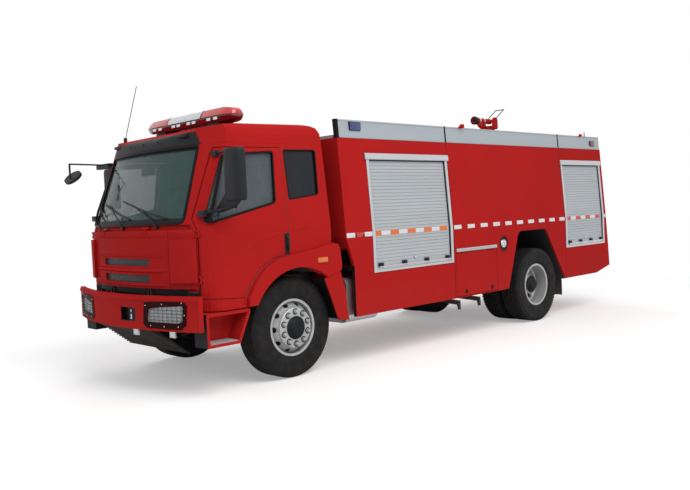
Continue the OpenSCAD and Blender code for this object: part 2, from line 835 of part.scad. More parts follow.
module inlet_caps() {
    color(silver) place() both() {
        xcyl(body_hw - 70, body_hw - 30, filler_y, 1168, 62);
        xcyl(body_hw - 32, body_hw - 6, filler_y, 1168, 84);
    }
}

module monitor_base() {
    color(red) place() translate([0, monitor_y, 0]) {
        translate([0, 0, deck_z]) cylinder(h = 20, r = 115);
        translate([0, 0, deck_z + 10]) cylinder(h = trunnion_z - 150 - deck_z - 10, r = column_r);
        translate([0, 0, trunnion_z - 190]) cylinder(h = 40, r = column_r + 15);
        translate([0, 0, trunnion_z - 190]) cylinder(h = 90, r = 30);
    }
}

module monitor_swivel() {
    color(red) place() translate([0, monitor_y, trunnion_z]) difference() {
        union() {
            translate([0, 0, -150 + run_gap]) cylinder(h = 74, r = 70);
            both() {
                box(96, 132, -85, 25, -120, 0);
                box(50, 120, -60, 25, -130, -88);
                xcyl(96, 132, -30, 0, 55);
            }
        }
        xcyl(-150, 150, -30, 0, 24 + pin_play);
        translate([0, 0, -160]) cylinder(h = 66, r = 30 + pin_play);
    }
}

module monitor_barrel() {
    color(dark_red) place() translate([0, monitor_y - 30, trunnion_z]) difference() {
        union() {
            rod([0, 28, 0], [0, -barrel_len, 0], barrel_r);
            rod([0, -barrel_len + 10, 0], [0, -barrel_len - 60, 0], barrel_r - 9);
            xcyl(-130, 130, 0, 0, 24);
            box(-86, 86, 8, 28, -12, 12);
            both() rod([78, 18, 0], [78, 320, 205], 8);
            rod([-86, 316, 202], [86, 316, 202], 8);
        }
        rod([0, -barrel_len + 150, 0], [0, -barrel_len - 70, 0], 22);
    }
}

module side_flap() {
    difference() {
        union() {
            difference() {
                box(body_hw - 30, body_hw, flap_y0 + panel_gap, flap_y1 - panel_gap, 552 + panel_gap, 1116);
                for (y = flap_hinges) box(body_hw - 40, body_hw + 10, y - 57, y + 57, 1094, 1200);
            }
            for (y = flap_hinges) {
                translate([flap_axis[0], y - 32, flap_axis[1]]) rotate([-90, 0, 0])
                    cylinder(h = 64, r = barrel_hinge_r);
                box(body_hw - 12, body_hw, y - 32, y + 32, 1090, flap_axis[1]);
            }
        }
        for (y = flap_hinges)
            translate([flap_axis[0], y - 60, flap_axis[1]]) rotate([-90, 0, 0])
                cylinder(h = 120, r = hinge_r + pin_play);
    }
}

module side_flap_left() {
    color(red) place() side_flap();
}

module side_flap_right() {
    color(red) place() mirror([1, 0, 0]) side_flap();
}

// lower edge of the cab side, and everything above it
cab_keep = [[-1500, 1050], [-1118, 1050], [-1118, sill_z], [-540, sill_z], [-300, 1100], [345, 1050],
    [520, 1072], [520, 2900], [-1500, 2900]];

module cab_shell() {
    color(red) place() {
        cab_body();
        // front panel hinge lugs and pins
        for (x = hood_hinges) {
            for (k = [x - 32, x + 20]) {
                box(k, k + 12, hood_axis[0], -1180, hood_axis[1] - 9, hood_axis[1] + 9);
                xcyl(k, k + 12, hood_axis[0], hood_axis[1], barrel_hinge_r);
            }
            xcyl(x - 32, x + 32, hood_axis[0], hood_axis[1], hinge_r);
        }
        // tilt arms
        both() difference() {
            union() {
                box(rail_in + 19, rail_in + 46, -1228, -1172, tilt_axis[1], 1060);
                xcyl(rail_in + 19, rail_in + 46, tilt_axis[0], tilt_axis[1], 28);
            }
            xcyl(rail_in + 10, rail_in + 55, tilt_axis[0], tilt_axis[1], tilt_r + pin_play);
        }
        // door hinge lugs and pins
        both() for (z = door_hinges) {
            for (k = [z - 36, z + 16]) {
                translate([door_axis[0], door_axis[1], k]) cylinder(h = 20, r = barrel_hinge_r);
                box(door_axis[0] - 42, door_axis[0] + 4, -1097, door_axis[1] - 4, k, k + 20);
            }
            translate([door_axis[0], door_axis[1], z - 36]) cylinder(h = 72, r = hinge_r);
        }
    }
}

module cab_body() {
    difference() {
        intersection() {
            union() {
                cab_skin(0, cab_wall);
                // bulkhead behind the front panels
                intersection() {
                    cab_skin(50, 112);
                    box(-cab_hw, cab_hw, -1500, -800, 1050, 1655);
                }
            }
            side(-far, far) polygon(cab_keep);
            box(-far, far, -1600, 900, 600, gutter_z);
        }
        // room for the front panels
        intersection() {
            cab_skin(-50, 50);
            box(-far, far, -1600, -1098, 1000, 1648);
        }
        both() xcyl(cab_hw - 500, far, 0, axle_z, arch_r);
        both() side(cab_hw - 400, far) polygon(door_hole);
        both() side(cab_hw - 400, far) polygon(quarter_hole);
        across(-1500, -700) polygon(screen_hole);
        box(rear_hole[0], rear_hole[1], 300, 700, rear_hole[2], rear_hole[3]);
    }
}

module cab_roof() {
    color(red) place() intersection() {
        cab_skin(0, cab_wall);
        box(-far, far, -1600, 900, gutter_z + 0.5, 2800);
    }
}

module cab_floor() {
    color(black) place() difference() {
        union() {
            // floor plate, inset at the bulkhead, along the doors and at the rear
            for (k = [[112, -1250, -790], [door_t + 8, -800, -55], [cab_wall, -56, cab_rear - cab_wall]])
                intersection() {
                cab_solid(k[0]);
                box(-cab_hw, cab_hw, k[1], k[2], floor_z, floor_z + 35);
            }
            // engine cover
            box(-430, 430, -860, cab_rear - cab_wall, floor_z, 1400);
            // step wells
            both() intersection() {
                cab_solid(door_t + 8);
                box(cab_hw - 350, cab_hw - 64, -1060, -640, sill_z + 6, floor_z + 35);
            }
        }
        box(-400, 400, -835, 420, floor_z - 10, 1370);
        both() box(cab_hw - 330, far, -1040, -660, sill_z + 26, floor_z + 100);
        door_sweep();
    }
}

module windscreen() {
    color(glass) place() intersection() {
        cab_skin(18, 28);
        across(-1500, -700) polygon(screen_hole);
    }
}

module cab_glass() {
    color(glass) place() {
        both() intersection() {
            cab_skin(20, 27);
            side(cab_hw - 400, far) polygon(quarter_hole);
        }
        intersection() {
            cab_skin(20, 27);
            box(rear_hole[0], rear_hole[1], 300, 700, rear_hole[2], rear_hole[3]);
        }
    }
}

module corner_panels() {
    color(red) place() both() union() {
        intersection() {
            cab_skin(0, hood_t);
            box(hood_hw + panel_gap, cab_hw, -1500, -1100, hood_z0, hood_z1);
        }
        // raised air deflector
        intersection() {
            cab_skin(-34, 10);
            box(hood_hw + 40, cab_hw, -1500, -1112, hood_z0 + 60, 1510);
        }
    }
}

module flares() {
    color(red) place() both() difference() {
        union() {
            side(cab_hw, cab_hw + flare_out) polygon(flare_pts);
            intersection() {
                side(cab_hw - 120, cab_hw + flare_out) polygon(flare_pts);
                box(cab_hw - 200, far, cab_rear, 700, 900, 1500);
            }
        }
        xcyl(cab_hw - 200, far, 0, axle_z, arch_r);
    }
}

module front_panel() {
    color(red) place() difference() {
        intersection() {
            cab_skin(0, hood_t);
            box(-hood_hw, hood_hw, -1500, -900, hood_z0, hood_z1);
        }
        for (z = [[1088, 1165], [1254, 1324]]) box(-450, 450, -1500, -900, z[0], z[1]);
    }
    // hinge arms
    color(red) place() for (x = hood_hinges) difference() {
        union() {
            box(x - 14, x + 14, -1278, -1238, 1570, hood_axis[1] - 2);
            xcyl(x - 14, x + 14, hood_axis[0], hood_axis[1], barrel_hinge_r);
        }
        xcyl(x - 20, x + 20, hood_axis[0], hood_axis[1], hinge_r + pin_play);
    }
}

module dashboard() {
    color(black) place() dash_solid();
}

module dash_solid() {
    difference() {
        intersection() {
            cab_solid(112);
            side(120 - cab_hw, cab_hw - 120) polygon([[-1400, 1330], [-900, 1330], [-870, 1480],
                [-900, 1610], [-1000, 1640], [-1400, 1640]]);
        }
        door_sweep();
    }
}

// space that the front edges of the doors swing through
module door_sweep() {
    both() translate([door_axis[0], door_axis[1], 600]) cylinder(h = 1300, r = door_swing);
}

module seat(x, y, w) {
    translate([x, y, 0]) {
        box(-w / 2, w / 2, -230, 230, 1405, 1560);
        side(-w / 2, w / 2) polygon([[140, 1500], [270, 1500], [350, 2060], [250, 2080]]);
        side(-w / 4, w / 4) polygon([[262, 2080], [345, 2060], [365, 2230], [285, 2240]]);
    }
}

module seats() {
    color([0.2, 0.2, 0.22]) place() {
        for (x = [-seat_x, seat_x]) {
            seat(x, -420, 520);
            box(x - 150, x + 150, -560, -300, floor_z + 35, 1406);
        }
        // rear bench
        box(220 - cab_hw, cab_hw - 220, 60, 420, 1400, 1560);
        box(220 - cab_hw, cab_hw - 220, 330, 432, 1555, 1780);
    }
}

module steering_wheel() {
    color(black) place() difference() {
        translate([seat_x, -780, 1690]) rotate([-30, 0, 0]) {
            rotate_extrude() translate([215, 0]) circle(r = 15);
            cylinder(h = 26, r = 60, center = true);
            for (a = [90, 210, 330]) rotate([0, 0, a]) translate([40, -14, -8]) cube([170, 28, 16]);
            translate([0, 0, -240]) cylinder(h = 240, r = 28);
        }
        dash_solid();
    }
}

module lightbar_base() {
    color(black) place() {
        box(-780, 780, -470, -270, roof_z + 10, lens_z);
        difference() {
            both() box(540, 660, -440, -300, roof_z - 100, roof_z + 12);
            cab_solid(0);
        }
    }
}

// lens underside, its section as (y, height), half its front view as (x, height)
// and half its plan as (x, y) pairs
lens_z = roof_z + 38;
lens_pts = [[-500, 0], [-500, 22], [-430, 136], [-310, 136], [-240, 22], [-240, 0]];
lens_half = [[880, 0], [880, 22], [755, 136]];
lens_plan = [[750, -500], [880, -420], [880, -320], [750, -240]];

module lens(x0, x1) {
    translate([0, 0, lens_z]) intersection() {
        side(x0, x1) polygon(lens_pts);
        across(-520, -220) polygon(mirrored(lens_half));
        linear_extrude(height = 200) polygon(mirrored(lens_plan));
    }
}

module lightbar_red() {
    color(lens_red) place() both() lens(330, 900);
}

module lightbar_clear() {
    color([0.9, 0.92, 0.95, 0.7]) place() lens(-328, 328);
}

module antenna() {
    color(black) place() {
        difference() {
            translate([270 - cab_hw, -690, roof_z - 90]) cylinder(h = 90, r = 20);
            cab_solid(0);
        }
        rod([270 - cab_hw, -690, roof_z - 20], [270 - cab_hw, -510, roof_z + 608], 4);
    }
}

module door() {
    door_panel();
    for (z = door_hinges) difference() {
        union() {
            translate([door_axis[0], door_axis[1], z - 14]) cylinder(h = 28, r = barrel_hinge_r);
            box(door_axis[0] - 44, door_axis[0] + 6, door_axis[1], -1050, z - 14, z + 14);
        }
        translate([door_axis[0], door_axis[1], z - 40]) cylinder(h = 80, r = hinge_r + pin_play);
    }
}

module door_panel() {
    difference() {
        intersection() {
            cab_skin(0, door_t);
            side(cab_hw - 400, far) polygon(shrink(door_hole, door_mid, panel_gap));
        }
        side(cab_hw - 400, far) polygon(window_hole);
        // inner front edge trimmed, so that it clears the dashboard
        box(0, door_axis[0] - 112, -1200, -960, 1300, 1652);
        // room for the hinge lugs of the shell
        for (z = door_hinges) translate([door_axis[0], door_axis[1], z - 42])
            cylinder(h = 84, r = barrel_hinge_r + run_gap);
    }
}

module door_left() {
    color(red) place() door();
}

module door_right() {
    color(red) place() mirror([1, 0, 0]) door();
}

module door_glass() {
    intersection() {
        cab_skin(24, 30);
        side(cab_hw - 400, far) polygon(window_hole);
    }
}

module door_glass_left() {
    color(glass) place() door_glass();
}

module door_glass_right() {
    color(glass) place() mirror([1, 0, 0]) door_glass();
}

// housing set back by dy from that of the left door
module mirror_set(dy) {
    x = cab_hw;
    difference() {
        union() {
            translate([0, dy, 1862]) linear_extrude(height = 450)
                polygon(round_rect(x + 130, x + 350, -950, -840, 36));
            // upper and lower arms
            rod([x - 160, -815, 2318], [x + 240, -895 + dy, 2326], 13);
            translate([x + 240, -895 + dy, 2290]) cylinder(h = 50, r = 16);
            rod([x - 115, -1025, 1745], [x + 240, -905 + dy, 1800], 13);
            translate([x + 240, -905 + dy, 1780]) cylinder(h = 90, r = 16);
            // feet on the door
            box(x - 200, x - 122, -850, -780, 2290, 2345);
            box(x - 160, x - 72, -1060, -990, 1715, 1775);
            children();
        }
        cab_solid(0);
    }
}

module mirror_left() {
    x = cab_hw;
    // fairing on the lower arm
    color(black) place() mirror_set(0)
        across(-925, -880) polygon([[x - 110, 1728], [x + 220, 1796], [x + 340, 1880], [x + 140, 1950]]);
}

module mirror_right() {
    x = cab_hw;
    color(black) place() mirror([1, 0, 0]) {
        // bracket of the round mirror on the upper arm
        mirror_set(270) box(x - 150, x + 150, -860, -800, 2322, 2380);
        // arm and round close-view mirror ahead of the windscreen pillar
        rod([x, -830, 2368], [x, -1255, 2376], 9);
        translate([x, -1255, 2195]) cylinder(h = 185, r = 11);
        translate([x, -1212, 2212]) rotate([40, -12, 0]) cylinder(h = 30, r = 104);
    }
}

module knuckle_left() {
    color(steel) place() knuckle();
}

module knuckle_right() {
    color(steel) place() mirror([1, 0, 0]) knuckle();
}

module tie_rod() {
    z = axle_z - 58;
    x = kingpin_x;
    color(steel) place() difference() {
        union() {
            rod([-x, ball_dy, z], [x, ball_dy, z], tie_rod_r);
            both() translate([x, ball_dy, z - 12]) cylinder(h = 24, r = 30);
        }
        both() translate([x, ball_dy, z - 40]) cylinder(h = 80, r = 12 + pin_play);
    }
}

module tyre_front_left() {
    color(black) place() tyre_at(front_track_x);
}

module tyre_front_right() {
    color(black) place() tyre_at(-front_track_x);
}

module tyres_rear_left() {
    color(black) place() translate([0, wheelbase, 0]) for (x = [rear_outer_x, rear_inner_x]) tyre_at(x);
}

module tyres_rear_right() {
    color(black) place() translate([0, wheelbase, 0]) for (x = [rear_outer_x, rear_inner_x]) tyre_at(-x);
}

module wheel_front_left() {
    color(silver) place() front_wheel();
}

module wheel_front_right() {
    color(silver) place() mirror([1, 0, 0]) front_wheel();
}

module wheels_rear_left() {
    color(silver) place() translate([0, wheelbase, 0]) rear_wheels();
}

module wheels_rear_right() {
    color(silver) place() translate([0, wheelbase, 0]) mirror([1, 0, 0]) rear_wheels();
}

chassis_frame();
cab_mounts();
front_axle();
rear_axle();
leaf_springs();
engine();
propeller_shaft();
chassis_tanks();
bumper();
lamps();
chassis_fenders();
mud_flaps();
body_front();
body_tank();
body_rear();
parapets();
shutter_frames();
shutters();
rear_ladder();
rear_guard();
inlet_caps();
monitor_base();
monitor_swivel();
monitor_barrel();
side_flap_left();
side_flap_right();
cab_shell();
cab_roof();
cab_floor();
windscreen();
cab_glass();
corner_panels();
flares();
front_panel();
dashboard();
seats();
steering_wheel();
lightbar_base();
lightbar_red();
lightbar_clear();
antenna();
door_left();
door_right();
door_glass_left();
door_glass_right();
mirror_left();
mirror_right();
knuckle_left();
knuckle_right();
tie_rod();
tyre_front_left();
tyre_front_right();
tyres_rear_left();
tyres_rear_right();
wheel_front_left();
wheel_front_right();
wheels_rear_left();
wheels_rear_right();
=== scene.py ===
"""Looks of the fire pump truck: materials, tape, lamps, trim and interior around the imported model."""
import json
import math

import bmesh
import bpy
from mathutils import Matrix, Vector
from mathutils.bvhtree import BVHTree


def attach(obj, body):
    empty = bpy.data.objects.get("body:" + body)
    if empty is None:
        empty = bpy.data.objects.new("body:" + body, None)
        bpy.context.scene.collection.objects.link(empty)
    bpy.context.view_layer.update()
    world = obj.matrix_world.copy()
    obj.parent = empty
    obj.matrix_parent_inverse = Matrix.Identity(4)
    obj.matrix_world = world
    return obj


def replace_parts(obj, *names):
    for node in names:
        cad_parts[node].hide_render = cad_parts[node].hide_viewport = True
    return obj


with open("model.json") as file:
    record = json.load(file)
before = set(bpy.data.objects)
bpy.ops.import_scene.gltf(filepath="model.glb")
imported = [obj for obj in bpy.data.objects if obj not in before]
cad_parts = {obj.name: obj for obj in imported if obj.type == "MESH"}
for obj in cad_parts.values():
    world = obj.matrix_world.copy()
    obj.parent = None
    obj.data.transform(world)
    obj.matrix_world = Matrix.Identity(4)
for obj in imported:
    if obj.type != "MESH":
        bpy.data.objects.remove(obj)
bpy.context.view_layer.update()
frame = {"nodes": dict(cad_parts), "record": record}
NODES = frame["nodes"]
SCENE = bpy.context.scene
FA = -2.625          # front axle in the row frame; pieces below are placed from it
REAR_Y = 4.5         # rear axle, from the front axle
AXLE_Z = 0.525
LEFT, RIGHT = 1, -1
SIDES = ((LEFT, "left"), (RIGHT, "right"))


# materials

def srgb(r, g, b):
    def lin(c):
        c /= 255
        return c / 12.92 if c <= 0.04045 else ((c + 0.055) / 1.055) ** 2.4
    return lin(r), lin(g), lin(b), 1.0


def shade(c, k):
    return tuple(min(1.0, v * k) for v in c[:3]) + (1.0,)


class Nodes:
    """A material's node tree, with short calls for what the materials here share."""

    def __init__(self, name):
        self.mat = bpy.data.materials.new(name)
        self.mat.use_nodes = True
        self.tree = self.mat.node_tree
        self.bsdf = self.tree.nodes["Principled BSDF"]
        self.place = self.new("ShaderNodeTexCoord").outputs["Object"]

    def new(self, kind, **values):
        """A node; values are its settings, or its sockets with _ for a space."""
        node = self.tree.nodes.new(kind)
        for key, value in values.items():
            if hasattr(node, key):
                setattr(node, key, value)
            else:
                node.inputs[key.replace("_", " ")].default_value = value
        return node

    def link(self, a, b):
        self.tree.links.new(a, b)

    def put(self, **values):
        """Fixed values for sockets of the surface shader."""
        for key, value in values.items():
            self.bsdf.inputs[key.replace("_", " ")].default_value = value

    def feed(self, **outputs):
        """Outputs that drive sockets of the surface shader."""
        for key, output in outputs.items():
            self.link(output, self.bsdf.inputs[key.replace("_", " ")])

    def placed(self, kind, vector=None, **values):
        """A node that reads object coordinates, or the vector given."""
        node = self.new(kind, **values)
        self.link(vector or self.place, node.inputs["Vector"])
        return node.outputs

    def noise(self, scale, detail=4.0, rough=0.55, vector=None):
        return self.placed("ShaderNodeTexNoise", vector, Scale=scale, Detail=detail, Roughness=rough)["Fac"]

    def ramp(self, fac, *stops):
        r = self.new("ShaderNodeValToRGB")
        for element, (position, colour) in zip(r.color_ramp.elements, stops):
            element.position = position
            element.color = colour
        self.link(fac, r.inputs["Fac"])
        return r.outputs["Color"]

    def span(self, fac, lo, hi, a=0.3, b=0.7):
        """Value a to b spread over lo to hi."""
        m = self.new("ShaderNodeMapRange", From_Min=a, From_Max=b, To_Min=lo, To_Max=hi)
        self.link(fac, m.inputs["Value"])
        return m.outputs["Result"]

    def maths(self, operation, a, b):
        m = self.new("ShaderNodeMath", operation=operation)
        self.link(a, m.inputs[0])
        self.link(b, m.inputs[1])
        return m.outputs[0]

    def mix(self, fac, a, b):
        m = self.new("ShaderNodeMix", data_type="RGBA")
        self.link(fac, m.inputs[0])
        for sock, v in ((m.inputs[6], a), (m.inputs[7], b)):
            if isinstance(v, tuple):
                sock.default_value = v
            else:
                self.link(v, sock)
        return m.outputs[2]

    def normal(self, height, strength, distance, bevel=0.0):
        b = self.new("ShaderNodeBump", Strength=strength, Distance=distance)
        self.link(height, b.inputs["Height"])
        if bevel:
            r = self.new("ShaderNodeBevel", samples=4, Radius=bevel)
            self.link(r.outputs["Normal"], b.inputs["Normal"])
        self.feed(Normal=b.outputs["Normal"])

    def height_fade(self, z0, z1):
        return self.span(self.placed("ShaderNodeSeparateXYZ")["Z"], 1.0, 0.0, z0, z1)


DUST = srgb(126, 116, 104)


def surface(name, colour, rough, metal=0.0, var=0.1, scale=5.0, bump=0.05, grain=120.0, depth=0.0006,
            bevel=0.003, dust=0.0, dust_top=1.0, stretch=None, **sockets):
    """Painted, moulded or metal: colour and roughness vary, grain gives bump, dust gathers low down."""
    n = Nodes(name)
    vec = n.placed("ShaderNodeMapping", Scale=stretch)["Vector"] if stretch else None
    wide = n.noise(scale, vector=vec)
    fine = n.noise(grain, 6.0, 0.6, vec)
    base = n.ramp(wide, (0.25, shade(colour, 1 - var)), (0.75, shade(colour, 1 + var)))
    if dust:
        patch = n.maths("MULTIPLY", n.height_fade(0.25, dust_top), n.span(n.noise(3.0, 8.0, 0.65), 0.0, dust))
        base = n.mix(patch, base, DUST)
    n.feed(Base_Color=base, Roughness=n.span(fine, max(0.02, rough * 0.8), min(1.0, rough * 1.25)))
    n.put(Metallic=metal, **sockets)
    n.normal(fine, bump, depth, bevel)
    return n.mat


red_paint = surface("red_paint", srgb(180, 33, 32), 0.22, var=0.05, scale=1.6, bump=0.04, grain=260,
                    depth=0.0002, bevel=0.004, dust=0.10, dust_top=0.9, Coat_Weight=0.06,
                    Coat_Roughness=0.08, Specular_IOR_Level=0.0)
black_plastic = surface("black_plastic", srgb(34, 35, 38), 0.5, var=0.2, scale=9, bump=0.25, grain=600,
                        depth=0.0004, Specular_IOR_Level=0.2)
chassis_black = surface("chassis_black", srgb(34, 34, 36), 0.62, var=0.25, scale=7, bump=0.3, grain=90,
                        depth=0.0008, dust=0.45, dust_top=1.1)
machinery = surface("machinery", srgb(96, 97, 100), 0.45, metal=0.7, var=0.25, scale=8, bump=0.3,
                    grain=160, dust=0.4)
BRUSHED = dict(var=0.06, scale=4, bump=0.1, grain=90, depth=0.0003, bevel=0.002, stretch=(1, 0.06, 1))
alloy = surface("bare_alloy", srgb(196, 199, 203), 0.34, metal=0.85, **BRUSHED)
parapet_alloy = surface("parapet_alloy", srgb(170, 178, 184), 0.45, metal=0.35, **BRUSHED)
shutter_alloy = surface("shutter_alloy", srgb(182, 187, 191), 0.5, metal=0.3, var=0.07, scale=3, bump=0.12,
                        grain=110, depth=0.0003, bevel=0.002, stretch=(1, 0.05, 1))
polished = surface("polished_steel", srgb(205, 206, 208), 0.2, metal=1.0, var=0.06, scale=6, bump=0.04,
                   grain=80)
wheel_silver = surface("wheel_silver", srgb(190, 192, 194), 0.4, metal=0.45, scale=9, bump=0.12, grain=260,
                       depth=0.0004, dust=0.22, dust_top=1.2)
trim = surface("dark_trim", srgb(24, 26, 28), 0.55, var=0.2, scale=12, bump=0.25, grain=420, depth=0.0005,
               Specular_IOR_Level=0.18)
lamp_frame = surface("lamp_frame", srgb(46, 12, 13), 0.5, var=0.2, scale=12, bump=0.2, grain=300,
                     depth=0.0004, Specular_IOR_Level=0.04)
guard_black = surface("guard_black", srgb(30, 28, 27), 0.7, var=0.35, scale=14, bump=0.4, grain=90,
                      depth=0.001, dust=0.25, Specular_IOR_Level=0.15)
seal = surface("rubber_seal", srgb(14, 14, 15), 0.5, var=0.2, scale=14, bump=0.1, grain=300,
               Specular_IOR_Level=0.12)
grey_trim = surface("grey_trim", srgb(118, 121, 124), 0.6, var=0.08, scale=10, bump=0.3, grain=500,
                    depth=0.0005)
flap_rubber = surface("flap_rubber", srgb(24, 24, 25), 0.75, var=0.25, scale=9, bump=0.4, grain=140, dust=0.5)
mirror_face = surface("mirror_face", srgb(200, 204, 208), 0.04, metal=1.0, var=0.03, bump=0.0)


def tyre_material():
    n = Nodes("tyre_rubber")
    wide, fine = n.noise(4.0, 6.0, 0.6), n.noise(240.0, 6.0, 0.65)
    base = n.ramp(wide, (0.3, srgb(17, 17, 18)), (0.75, srgb(29, 28, 28)))
    base = n.mix(n.span(n.noise(11.0, 8.0, 0.7), 0.0, 0.16, 0.45, 0.8), base, srgb(104, 98, 90))
    n.feed(Base_Color=base, Roughness=n.span(fine, 0.62, 0.85))
    n.put(Specular_IOR_Level=0.22)
    n.normal(fine, 0.25, 0.0008, 0.002)
    return n.mat


def glass(name, tint, alpha, spec=0.5, rough=0.03):
    """Thin tinted glass: part of the light goes through, and faint grime varies gloss and clearness."""
    n = Nodes(name)
    grime = n.noise(7.0, 6.0, 0.6, n.placed("ShaderNodeMapping", Scale=(1, 1, 0.35))["Vector"])
    n.feed(Base_Color=n.ramp(grime, (0.3, tint), (0.8, shade(tint, 1.25))),
           Roughness=n.span(grime, rough, rough + 0.05),
           Alpha=n.span(grime, alpha, min(1.0, alpha + 0.08)))
    n.put(Specular_IOR_Level=spec, IOR=1.5)
    n.normal(grime, 0.02, 0.0005)
    return n.mat


def lens(name, colour, cells, glow=0.0, rough=0.08):
    """Moulded lamp lens: small cells in the surface give it sparkle."""
    n = Nodes(name)
    cell = n.placed("ShaderNodeTexVoronoi", Scale=cells, distance="CHEBYCHEV")["Distance"]
    n.feed(Base_Color=n.ramp(cell, (0.1, shade(colour, 1.12)), (0.75, shade(colour, 0.62))),
           Roughness=n.span(cell, rough, rough + 0.12, 0.0, 0.8))
    n.put(Coat_Weight=0.6, Coat_Roughness=0.04, Specular_IOR_Level=0.6)
    if glow:
        n.put(Emission_Color=colour, Emission_Strength=glow)
    n.normal(cell, 0.35, 0.001)
    return n.mat


def tape(name, colour):
    """Retroreflective tape with its fine honeycomb."""
    n = Nodes(name)
    edge = n.placed("ShaderNodeTexVoronoi", Scale=170.0, feature="DISTANCE_TO_EDGE")["Distance"]
    cell = n.span(edge, 0.0, 1.0, 0.02, 0.12)
    n.feed(Base_Color=n.mix(cell, shade(colour, 0.8), colour), Roughness=n.span(cell, 0.42, 0.26, 0.0, 1.0))
    n.put(Coat_Weight=0.4, Coat_Roughness=0.1)
    n.normal(cell, 0.15, 0.0003)
    return n.mat


def cloth(name, a, b):
    """Woven cloth in two shades."""
    n = Nodes(name)
    band = n.placed("ShaderNodeTexWave", Scale=160.0, Distortion=1.5, Detail=2.0, bands_direction="DIAGONAL")
    weave = n.noise(420.0, 3.0)
    n.feed(Base_Color=n.mix(band["Fac"], a, b), Roughness=n.span(weave, 0.8, 1.0))
    n.put(Sheen_Weight=0.25, Sheen_Roughness=0.5)
    n.normal(weave, 0.4, 0.0012)
    return n.mat


def mesh_grille(name):
    """Black wire mesh: crossed bands with dark holes."""
    n = Nodes(name)
    waves = [n.placed("ShaderNodeTexWave", Scale=32.0, Distortion=0.0, bands_direction=d) for d in "XZ"]
    wire = n.span(n.maths("MAXIMUM", *(w["Fac"] for w in waves)), 0.0, 1.0, 0.55, 0.85)
    n.feed(Base_Color=n.mix(wire, srgb(12, 12, 13), srgb(58, 59, 61)),
           Roughness=n.span(wire, 0.8, 0.45, 0.0, 1.0))
    n.normal(wire, 0.8, 0.004)
    return n.mat


def tread_plate(name, colour):
    """Chequer plate: raised diamonds."""
    n = Nodes(name)
    turned = n.placed("ShaderNodeMapping", Rotation=(0, 0, math.radians(45)))["Vector"]
    brick = n.placed("ShaderNodeTexBrick", turned, Scale=26.0, Mortar_Size=0.03)["Fac"]
    fine = n.noise(60.0, 6.0)
    n.feed(Base_Color=n.ramp(fine, (0.3, shade(colour, 0.8)), (0.7, shade(colour, 1.1))),
           Roughness=n.span(fine, 0.3, 0.55))
    n.put(Metallic=0.8)
    n.normal(brick, 0.7, 0.003)
    return n.mat


tyre_rubber = tyre_material()
windscreen_glass = glass("windscreen_glass", srgb(48, 84, 80), 0.46)
door_window = glass("door_window", srgb(98, 108, 114), 0.38)
dark_window = glass("dark_window", srgb(24, 27, 33), 0.92, spec=0.25)
red_lens = lens("red_lens", srgb(205, 24, 30), 60, glow=0.06)
clear_lens = lens("white_lens", srgb(214, 218, 222), 60, glow=0.08)
head_lens = lens("lamp_lens", srgb(170, 172, 174), 70, glow=0.02)
amber_lens = lens("amber_lens", srgb(228, 112, 12), 150, glow=0.03)
dull_lens = lens("dull_red_lens", srgb(120, 26, 40), 120)
blue_lens = lens("blue_lens", srgb(20, 48, 120), 120, glow=0.02)
white_tape = tape("white_tape", srgb(226, 228, 230))
red_tape = tape("red_tape", srgb(206, 26, 28))
orange_tape = tape("orange_tape", srgb(236, 106, 10))
seat_cloth = cloth("seat_cloth", srgb(62, 64, 68), srgb(92, 94, 98))
grille_mesh = mesh_grille("grille_mesh")
alloy_tread = tread_plate("alloy_tread", srgb(188, 190, 192))

# finishes of each slot; the first is the one that CAD nodes take, unless they are named below
SLOTS = {
    "red_paint": (red_paint,), "chassis_black": (chassis_black, guard_black), "machinery": (machinery,),
    "bare_alloy": (alloy, parapet_alloy, polished, alloy_tread, mirror_face), "lamp_lens": (head_lens,),
    "flap_rubber": (flap_rubber,), "dark_trim": (trim, seal, black_plastic, lamp_frame, grille_mesh),
    "seat_cloth": (seat_cloth,), "clear_glass": (door_window, dark_window), "white_lens": (clear_lens,),
    "red_lens": (red_lens, amber_lens, dull_lens, blue_lens), "tyre_rubber": (tyre_rubber,),
    "wheel_silver": (wheel_silver,),
}
SLOT_OF = {mat.name: slot for slot, mats in SLOTS.items() for mat in mats}
BY_NODE = {
    "windscreen": windscreen_glass, "cab_glass": dark_window, "shutters": shutter_alloy,
    "mirror_left": black_plastic, "mirror_right": black_plastic, "cab_floor": grey_trim, "dashboard": trim,
    "lightbar_base": black_plastic, "monitor_barrel": red_paint, "parapets": parapet_alloy,
}


# mesh helpers

def steps(a, b, n):
    return [a + (b - a) * i / n for i in range(n + 1)]


def round_points(n, start=0.0):
    """Cosine and sine of n even turns."""
    turns = [2 * math.pi * (i + start) / n for i in range(n)]
    return [(math.cos(a), math.sin(a)) for a in turns]


